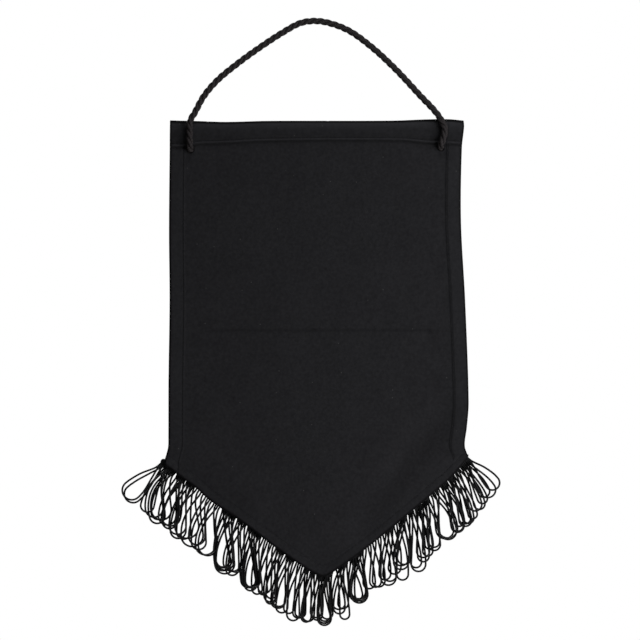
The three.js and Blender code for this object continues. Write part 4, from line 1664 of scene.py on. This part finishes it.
    def build(self) -> list[bpy.types.Object]:
        """Build the loops and the tape.

        Returns:
            The loops and the tape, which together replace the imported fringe.
        """
        yarn = Shape()
        for i, loop in enumerate(self.loops()):
            path = self.loop_path(i, loop)
            yarn.tube(
                path, lambda share: self.yarn_radius, self.yarn_sides, Vector((0, 1, 0)), i * self.map_shift
            )
        pieces = [yarn.piece("fringe_loops", FRINGE_YARN), self.tape()]
        for piece in pieces:
            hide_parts("fringe")
        return pieces

    def tape(self) -> bpy.types.Object:
        """Build the tape, closed at both ends, and its curled end.

        Returns:
            The tape as one piece.
        """
        shape = Shape()
        run = 0.0
        before = None
        lengths = []
        for i in range(self.tape_stations + 1):
            x = mix(*self.tape_ends, i / self.tape_stations)
            low, high, low_y, high_y = self.tape_at(x)
            here = Vector((x, low))
            run += (here - before).length if before else 0.0
            before = here
            lengths.append(run)
            for up, back in TAPE_SECTION:
                y = mix(low_y, high_y, up) + self.tape_thickness * back
                shape.points.append((x, y, mix(low, high, up)))
        ring = len(TAPE_SECTION)
        for i, (u0, u1) in enumerate(zip(lengths, lengths[1:])):
            for k in range(ring):
                a, b = i * ring + k, i * ring + (k + 1) % ring
                shape.faces.append((a, b, b + ring, a + ring))
                shape.maps.append(((u0, 0.0), (u0, 0.0), (u1, 0.0), (u1, 0.0)))
        for start, order in ((0, -1), (self.tape_stations * ring, 1)):
            shape.faces.append(tuple(start + k for k in range(ring))[::order])
            shape.maps.append(tuple((0.0, 0.0) for _ in range(ring)))
        shape.tube(self.curled_end(), lambda share: self.curl_radius, self.curl_sides, Vector((0, 1, 0)))
        return shape.piece("fringe_tape", FRINGE_TAPE)


# Studio


class Lamp(NamedTuple):
    """A square soft light: its name, its place and side in metres, and its strength in watts."""

    name: str
    place: tuple[float, float, float]
    power: float
    size: float


LAMPS = [
    Lamp("key_softbox", (0.62, -0.46, -0.28), 10.4, 0.7),
    Lamp("top_softbox", (0.05, -0.45, 0.75), 4.0, 0.6),
    Lamp("back_softbox", (-0.5, 1.4, 0.6), 30.0, 1.0),
]


@dataclass
class Studio:
    """A camera at the photo's angle, soft lights and a small pale floor below the banner, in metres."""

    view_width: float = 0.5011
    distance: float = 2.2
    centre_x: float = 0.00403
    centre_z: float = -0.2316
    sensor_mm: float = 36.0
    room_glow: float = 0.12
    floor_z: float = -0.66
    floor_radius: float = 0.42
    floor_thickness: float = 0.01
    floor_sides: int = 96

    def build(self) -> None:
        """Set up the camera, the lights, the room and the floor."""
        self.camera()
        for lamp in LAMPS:
            self.light(lamp)
        self.room()
        self.floor()

    def camera(self) -> None:
        """Add the camera level with the middle of the view, straight in front of the banner."""
        data = bpy.data.cameras.new("front_camera")
        data.sensor_width = self.sensor_mm
        data.lens = self.sensor_mm * self.distance / self.view_width
        data.clip_start, data.clip_end = 0.05, 20
        camera = bpy.data.objects.new("front_camera", data)
        camera.location = (self.centre_x, -self.distance, self.centre_z)
        camera.rotation_euler = (math.pi / 2, 0, 0)
        bpy.context.scene.collection.objects.link(camera)
        bpy.context.scene.camera = camera

    def light(self, lamp: Lamp) -> None:
        """Add one light that points at the middle of the banner.

        Args:
            lamp: the light.
        """
        data = bpy.data.lights.new(lamp.name, "AREA")
        data.energy, data.size = lamp.power, lamp.size
        light = bpy.data.objects.new(lamp.name, data)
        light.location = lamp.place
        aim = Vector((0, 0, self.centre_z)) - Vector(lamp.place)
        light.rotation_euler = aim.to_track_quat("-Z", "Y").to_euler()
        bpy.context.scene.collection.objects.link(light)

    def room(self) -> None:
        """Surround the banner with a white room."""
        room = bpy.data.worlds.new("white_room")
        room.use_nodes = True
        tree = room.node_tree
        tree.nodes.clear()
        # The room shows white behind the banner but lights it less, so the lamps can shape the cloth
        seen = add_node(tree, "LightPath").outputs["Is Camera Ray"]
        strength = add_node(
            tree, "MapRange", inputs={"To Min": self.room_glow, "To Max": 1.0}, links={"Value": seen}
        )
        glow = add_node(
            tree, "Background", inputs={"Color": (1, 1, 1, 1)}, links={"Strength": strength.outputs["Result"]}
        )
        add_node(tree, "OutputWorld", links={"Surface": glow.outputs[0]})
        bpy.context.scene.world = room
        bpy.context.scene.view_settings.view_transform = "Standard"

    def floor(self) -> None:
        """Add the pale floor as a thin disc."""
        bpy.ops.object.select_all(action="DESELECT")
        bpy.ops.mesh.primitive_cylinder_add(
            vertices=self.floor_sides, radius=self.floor_radius, depth=self.floor_thickness,
            location=(0, 0, self.floor_z - self.floor_thickness / 2),
        )
        floor = bpy.context.object
        floor.name = "pale_floor"
        material = bpy.data.materials.new("pale_floor")
        material.use_nodes = True
        material.node_tree.nodes.clear()
        shader = add_node(
            material.node_tree, "BsdfPrincipled", inputs={"Base Color": linear("#ecebe8"), "Roughness": 0.9}
        )
        add_node(material.node_tree, "OutputMaterial", links={"Surface": shader.outputs["BSDF"]})
        floor.data.materials.append(material)


def main() -> None:
    logging.basicConfig(level=logging.INFO, format="%(name)s: %(message)s")
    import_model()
    Studio().build()
    HangingCord().build()
    banner = BannerCloth()
    cloth = banner.build()
    stitches = Stitches(banner).build()
    fringe = Fringe(banner).build()


if __name__ == "__main__":
    main()
